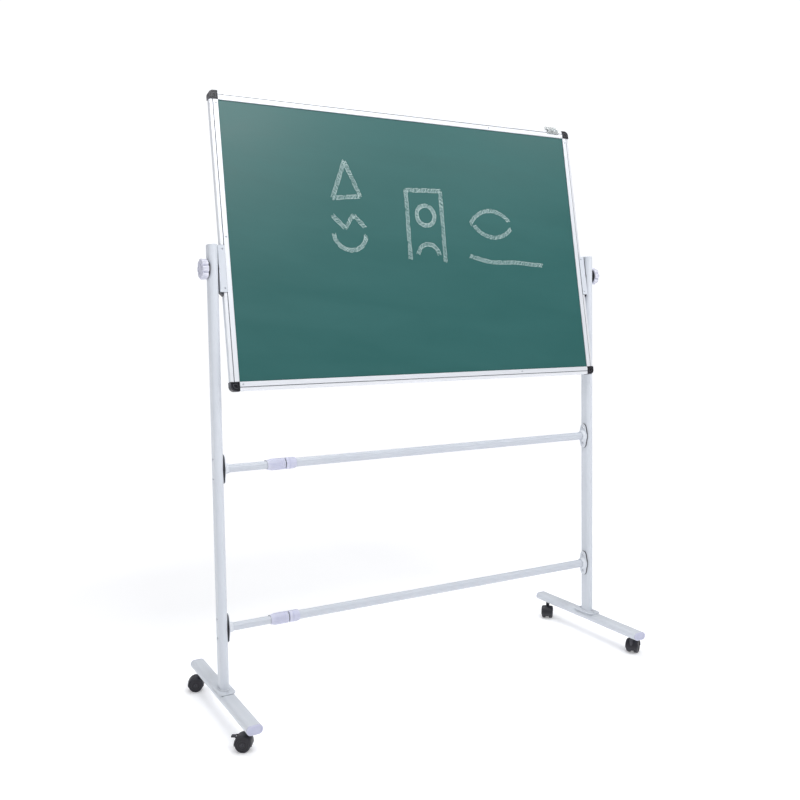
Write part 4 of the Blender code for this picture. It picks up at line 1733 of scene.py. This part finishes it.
@dataclass
class TopClip:
    """The clear clip astride the top rail."""

    board: Board
    width: float = 0.0445
    across: float = 0.5378
    leg: float = 0.014
    fin: float = 0.013
    fin_half: float = 0.001
    sheet: float = 0.0014
    gap: float = 0.0006
    rib_half: float = 0.0006

    def build(self) -> list[bpy.types.Object]:
        """Builds and dresses the clip.

        Returns:
            The clip.
        """
        inner = self.board.rail_half_depth + self.gap
        outer, floor = inner + self.sheet, self.gap / 2
        roof = floor + self.sheet
        half = [(outer, roof), (outer, -self.leg), (inner, -self.leg), (inner, floor)]
        fin = [(-self.fin_half, roof), (-self.fin_half, self.fin)]
        fin += [(self.fin_half, self.fin), (self.fin_half, roof)]
        blank = Blank.plate(fin + half + [(-x, y) for x, y in reversed(half)], self.width)
        blank.soften(0.0004, 2)
        middle_height = self.width / 2
        low = (outer - 0.0004, -self.leg + 0.0006, middle_height - self.rib_half)
        high = (outer + 0.0012, roof, middle_height + self.rib_half)
        rib = Blank.block(low, high).soften(0.0003)
        blank.add(rib, *(Matrix.Scale(way, 4, (1, 0, 0)) for way in (1, -1)))
        upright = Matrix(((0, 0, 1, 0), (1, 0, 0, 0), (0, 1, 0, 0), (0, 0, 0, 1)))
        corner = Matrix.Translation((self.across - middle_height, 0, self.board.height / 2))
        place = self.board.plane() @ corner @ upright
        return [blank.finish("top_rail_clip", "board", CLEAR_PLASTIC, ["top_clip"], place)]


@dataclass
class Pivot:
    """One side's bracket, spacer, washer and clamp knob, on the stud between them."""

    side: Side
    board: Board
    bracket_length: float = 0.124
    bracket_sheet: float = 0.0022
    bracket_flange: float = 0.010
    bracket_stand_off: float = 0.0066
    bracket_gap: float = 0.0003
    knob_radius: float = 0.0255
    lobe_depth: float = 0.0015
    lobes: int = 8
    knob_thickness: float = 0.0164
    knob_steps: tuple[Point, ...] = ((0.0040, 0.0006), (0.0030, -0.0016), (0.0040, 0.0012))
    groove_factor: float = 3.2
    screw: Point = (0.0024, 0.0011)
    washer_bore: float = 0.0046

    def build(self) -> list[bpy.types.Object]:
        """Builds and dresses the pivot.

        Returns:
            Its finished pieces.
        """
        label = self.side.label
        dress_node(f"{label}_stud", ZINC_PLATE)
        return [
            self.bracket(),
            self.bracket_screws(),
            self.rub_pad(),
            self.washer(f"{label}_spacer", f"{label}_spacer_bush"),
            self.washer(f"{label}_washer", f"{label}_friction_washer"),
            self.knob(),
        ]

    def bracket(self) -> bpy.types.Object:
        """The bent channel that wraps the rail's outer edge."""
        inner = self.board.rail_half_depth + self.bracket_gap
        outer, back = inner + self.bracket_sheet, -self.bracket_stand_off - self.bracket_sheet
        channel = [
            (self.bracket_flange, -outer),
            (self.bracket_flange, -inner),
            (-self.bracket_stand_off, -inner),
            (-self.bracket_stand_off, inner),
            (self.bracket_flange, inner),
            (self.bracket_flange, outer),
            (back, outer),
            (back, -outer),
        ]
        blank = Blank.plate(channel, self.bracket_length)

        def is_bend(edge: bmesh.types.BMEdge) -> bool:
            """Whether an edge is the outside of one of the two bends."""
            return is_along_z(edge) and edge.verts[0].co.x < back + WELD_DISTANCE

        blank.soften(0.0020, 4, is_bend).soften(0.0004, 2)
        label = self.side.label
        place = self.at_edge() @ Matrix.Translation((0, 0, -self.bracket_length / 2))
        return blank.finish(
            f"{label}_bracket_channel", "board", POWDER_COAT, [f"{label}_bracket"], place
        )

    def at_edge(self) -> Matrix:
        """The board's side edge level with the pivot, local X inwards."""
        facing = Matrix.Rotation(math.pi if self.side is Side.RIGHT else 0.0, 4, "Z")
        edge = (self.side.value * self.board.width / 2, 0, -self.board.centre_above_pivot)
        return self.board.plane() @ Matrix.Translation(edge) @ facing

    def bracket_screws(self) -> bpy.types.Object:
        """Two small screws on each flange of the channel."""
        depth = self.board.rail_half_depth + self.bracket_gap + self.bracket_sheet
        places = [
            self.at_edge()
            @ Matrix.Translation((0.0042, end.value * depth, way * 0.052))
            @ Matrix.Rotation(-end.value * QUARTER_TURN, 4, "X")
            for end in End
            for way in (-1, 1)
        ]
        blank = screws(*self.screw, places)
        return blank.finish(f"{self.side.label}_bracket_screws", "board", ZINC_PLATE)

    def rub_pad(self) -> bpy.types.Object:
        """A wedge of black plastic under the channel's lower end: painted shadow, a dark piece
        standing for the shade in the channel's open end.
        """
        half = self.board.rail_half_depth
        wedge = [(-0.0004, 0), (-0.0004, -0.009), (-0.0084, 0)]
        blank = Blank.plate(wedge, 1.6 * half).soften(0.0002)
        upright = Matrix(((1, 0, 0, 0), (0, 0, 1, -0.8 * half), (0, 1, 0, 0), (0, 0, 0, 1)))
        low_end = Matrix.Translation((0, 0, -self.bracket_length / 2 - 0.0002))
        name = f"{self.side.label}_bracket_wedge"
        return blank.finish(name, "board", BLACK_ABS, matrix=self.at_edge() @ low_end @ upright)

    def washer(self, node: str, name: str) -> bpy.types.Object:
        """A plastic ring on the stud.

        Args:
            node: The CAD node that it stands for.
            name: The piece's name.

        Returns:
            The finished ring.
        """
        low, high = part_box(node)
        blank = ring((high.z - low.z) / 2, self.washer_bore, low.x, high.x, 0.0005)
        on_stud = Matrix.Translation((0, 0, middle(node).z)) @ ALONG_X
        return blank.finish(name, "stand", BLACK_ABS, [node], on_stud)

    def knob(self) -> bpy.types.Object:
        """The lobed clamp knob: broad lobes, narrow grooves and a stepped outer face."""
        label, sign = self.side.label, self.side.value
        node = f"{label}_knob"
        low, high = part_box(node)
        blank = Blank.disc(self.knob_radius, self.knob_thickness, 12 * self.lobes)
        blank.soften(0.0030, 3, is_raised)
        for margin, depth in self.knob_steps:
            blank.step((0, 0, 1), margin, depth)

        def scallop(place: Vector) -> None:
            """Sinks the grooves between the lobes, deepest at the rim."""
            reach = place.xy.length
            groove = ((1 - math.cos(self.lobes * math.atan2(place.y, place.x))) / 2) ** 4
            share = min(1.0, max(0.0, (reach - 0.4 * self.knob_radius) / (0.6 * self.knob_radius)))
            if reach > WELD_DISTANCE:
                change = self.lobe_depth * share * share * (1 - self.groove_factor * groove)
                place.xy *= 1 + change / reach

        blank.reshape(scallop)
        start = low.x if self.side is Side.RIGHT else high.x
        outwards = Matrix.Rotation(sign * QUARTER_TURN, 4, "Y")
        place = Matrix.Translation((start, 0, middle(node).z)) @ outwards
        return blank.finish(f"{label}_clamp_knob", node, WHITE_ABS, [node], place)


@dataclass
class Castor:
    """One twin-wheel castor, in the space of its stem's axis, trailing along +X."""

    end: End
    side: Side
    trail: float = 0.016
    wheel_radius: float = 0.020
    wheel_width: float = 0.0124
    wheel_start: float = 0.0058
    web_half: float = 0.0052
    web_radius: float = 0.0220
    web_drop: float = 0.0100
    hood_droop: float = math.radians(8)
    hood_mid_radius: float = 0.0222
    neck_radius: float = 0.0060
    neck_top: float = 0.0485
    stem_radius: float = 0.003
    axle_radius: float = 0.0030
    axle_length: float = 0.0352
    wheel_bore: float = 0.0035
    nut_radius: float = 0.0062
    lever_size: Corner = (0.0115, 0.0120, 0.0038)

    @property
    def label(self) -> str:
        """The words that the CAD names this castor by."""
        return f"{self.end.label}_{self.side.label}"

    def build(self) -> list[bpy.types.Object]:
        """Builds and dresses the castor.

        Returns:
            Its finished pieces.
        """
        pieces = [self.stem(), self.cover()]
        pieces += [self.wheel(hand) for hand in Side]
        if self.end is End.FRONT:
            pieces += [self.brake_lugs(), self.brake_lever()]
        return pieces

    def on_stem(self) -> Matrix:
        """Takes the castor's own space to its place under the foot."""
        stem = joint_place(f"{self.label}_swivel")
        wheel = joint_place(f"{self.label}_left_wheel_spin")
        heading = math.atan2(wheel.y - stem.y, wheel.x - stem.x)
        return Matrix.Translation((stem.x, stem.y, 0)) @ Matrix.Rotation(heading, 4, "Z")

    def on_axle(self) -> Matrix:
        """Takes a shape with Z along the axle and Y up to its place."""
        axle = Matrix.Translation((self.trail, 0, self.wheel_radius))
        return self.on_stem() @ axle @ Matrix.Rotation(QUARTER_TURN, 4, "X")

    def stem(self) -> bpy.types.Object:
        """The pin with its hexagonal nut against the foot."""
        node = f"{self.label}_castor_stem"
        low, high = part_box(node)
        pin = Blank.disc(self.stem_radius, high.z - low.z, 24)
        pin.move(Matrix.Translation((0, 0, low.z)))
        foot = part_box(f"{self.side.label}_foot")[0].z
        nut_bottom = self.neck_top + 0.0006
        nut = Blank.disc(self.nut_radius, foot - 0.0003 - nut_bottom, 6).soften(0.0006)
        pin.add(nut, Matrix.Translation((0, 0, nut_bottom)))
        return pin.finish(f"{node}_and_nut", "stand", BLACK_NYLON, [node], self.on_stem())

    def cover(self) -> bpy.types.Object:
        """The hood over both wheels, its web, neck and axle ends."""
        half = [
            (0.0229, 0.0),
            (0.0229, 0.0080),
            (0.0227, 0.0122),
            (0.0220, 0.0154),
            (0.0208, 0.0178),
            (0.0199, 0.0188),
            (0.0192, 0.0186),
            (0.0203, 0.0170),
            (0.0209, 0.0140),
            (0.0211, 0.0080),
            (0.0211, 0.0),
        ]
        outside, inside = half[:6], half[6:]
        section = [(r, -z) for r, z in reversed(outside[1:])] + outside
        section += inside + [(r, -z) for r, z in reversed(inside[:-1])]
        sweep = math.pi + 2 * self.hood_droop
        blank = Blank.turning(section, closed=True, steps=36, angle=sweep)
        blank.move(Matrix.Rotation(-self.hood_droop, 4, "Z"))
        web = Blank.disc(self.web_radius, 2 * self.web_half, 64)

        def cut_foot(place: Vector) -> None:
            """Cuts the web off level below the axle."""
            place.y = max(place.y, -self.web_drop)

        web.reshape(cut_foot).weld().soften(0.0008, 2)
        blank.add(web, Matrix.Translation((0, 0, -self.web_half)))
        axle = Blank.disc(self.axle_radius, self.axle_length, 24).soften(0.0005)
        blank.add(axle, Matrix.Translation((0, 0, -self.axle_length / 2)))
        neck = self.neck()
        blank.add(neck, Matrix.Rotation(-QUARTER_TURN, 4, "X"))
        name, body = f"{self.label}_castor_cover", f"{self.label}_castor"
        return blank.finish(name, body, BLACK_NYLON, [f"{body}_hood"], self.on_axle())

    def neck(self) -> Blank:
        """The round neck that stands on the hood, in the axle's space with Z up.

        Returns:
            The new blank.
        """
        top = self.neck_top - self.wheel_radius
        neck = Blank.disc(self.neck_radius, top, 32)
        neck.soften(0.0010, 3, is_raised)
        neck.move(Matrix.Translation((-self.trail, 0, 0)))

        def sit_on_hood(place: Vector) -> None:
            """Brings the neck's lower rim up to the hood's curve."""
            if place.z < WELD_DISTANCE:
                place.z = math.sqrt(max(self.hood_mid_radius**2 - place.x**2, 0))

        return neck.reshape(sit_on_hood)

    def wheel(self, hand: Side) -> bpy.types.Object:
        """One wheel: a crowned tread, a ringed side and a hub.

        Args:
            hand: Which of the two.

        Returns:
            The finished wheel.
        """
        side, tread, bore = self.wheel_width, self.wheel_radius, self.wheel_bore
        profile = [
            (bore, side - 0.0014),
            (0.0050, side - 0.0009),
            (0.0064, side - 0.0006),
            (0.0070, side - 0.0011),
            (0.0075, side - 0.0021),
            (0.0103, side - 0.0021),
            (0.0108, side - 0.0013),
            (0.0120, side - 0.0011),
            (0.0125, side - 0.0019),
            (0.0148, side - 0.0016),
            (0.0153, side - 0.0004),
            (0.0163, side),
            (0.0172, side - 0.0004),
            (0.0175, side - 0.0010),
            (0.0180, side - 0.0010),
            (0.0190, side - 0.0015),
            (0.0197, side - 0.0028),
            (tread, side - 0.0048),
            (tread, 0.0014),
            (tread - 0.0004, 0.0005),
            (tread - 0.0013, 0),
            (0.0072, 0),
            (bore, 0),
        ]
        blank = Blank.turning(profile, closed=True, steps=64)
        sign = hand.value
        facing = Matrix.Translation((0, 0, -sign * self.wheel_start))
        if sign > 0:
            facing = facing @ Matrix.Rotation(math.pi, 4, "X")
        node = f"{self.label}_{hand.label}_wheel"
        name = f"{self.label}_{hand.label}_ringed_wheel"
        return blank.finish(name, node, BLACK_NYLON, [node], self.on_axle() @ facing)

    def brake_place(self) -> Matrix:
        """The brake lever's hinge, local X outwards."""
        hinge = joint_place(f"front_{self.side.label}_brake_press")
        return Matrix.Translation(hinge) @ self.on_stem().to_3x3().to_4x4()

    def brake_lugs(self) -> bpy.types.Object:
        """The two lugs that hold the lever to the hood, and its pin."""
        half = self.lever_size[1] / 2
        lugs = Blank()
        lug = Blank.block((-0.0056, 0.0004, -0.0020), (0.0016, 0.0020, 0.0020)).soften(0.0007, 3)
        sides = [Matrix.Translation((0, way * (half + 0.0012) - 0.0012, 0)) for way in (-1, 1)]
        lugs.add(lug, *sides)
        pin = Blank.disc(0.0010, 2 * half + 0.0056, 20)
        lying = Matrix.Translation((0, half + 0.0028, 0)) @ Matrix.Rotation(QUARTER_TURN, 4, "X")
        lugs.add(pin, lying)
        name = f"{self.label}_brake_lugs"
        return lugs.finish(
            name, f"{self.label}_castor", BLACK_NYLON, matrix=self.brake_place()
        )

    def brake_lever(self) -> bpy.types.Object:
        """The tread-down tab, ribbed on top so that a shoe finds it."""
        length, width, thickness = self.lever_size
        blank = Blank.block((0, -width / 2, -thickness / 2), (length, width / 2, thickness / 2))
        blank.soften(0.0010, 3)
        for start in (0.0036, 0.0059, 0.0082):
            low = (start, -0.40 * width, thickness / 2 - 0.0004)
            rib = Blank.block(low, (start + 0.0011, 0.40 * width, thickness / 2 + 0.0005))
            blank.add(rib.soften(0.0003))
        node = f"{self.label}_brake_lever"
        return blank.finish(f"{node}_tab", node, BLACK_NYLON, [node], self.brake_place())


def main() -> None:
    """Builds every sub-assembly in order and reports its pieces."""
    logging.basicConfig(level=logging.INFO, format="%(message)s")
    board = Board()
    assemblies = [Studio(), board, ChalkDrawing(board), TopClip(board)]
    for side in Side:
        assemblies += [SideFrame(side), Pivot(side, board)]
        assemblies += [Castor(end, side) for end in End]
    assemblies += [Crossbar(level) for level in ("lower", "upper")]
    for assembly in assemblies:
        for piece in assembly.build():
            faces = len(piece.data.polygons)
            LOG.info("%s: %s, %d faces", type(assembly).__name__, piece.name, faces)


if __name__ == "__main__":
    main()
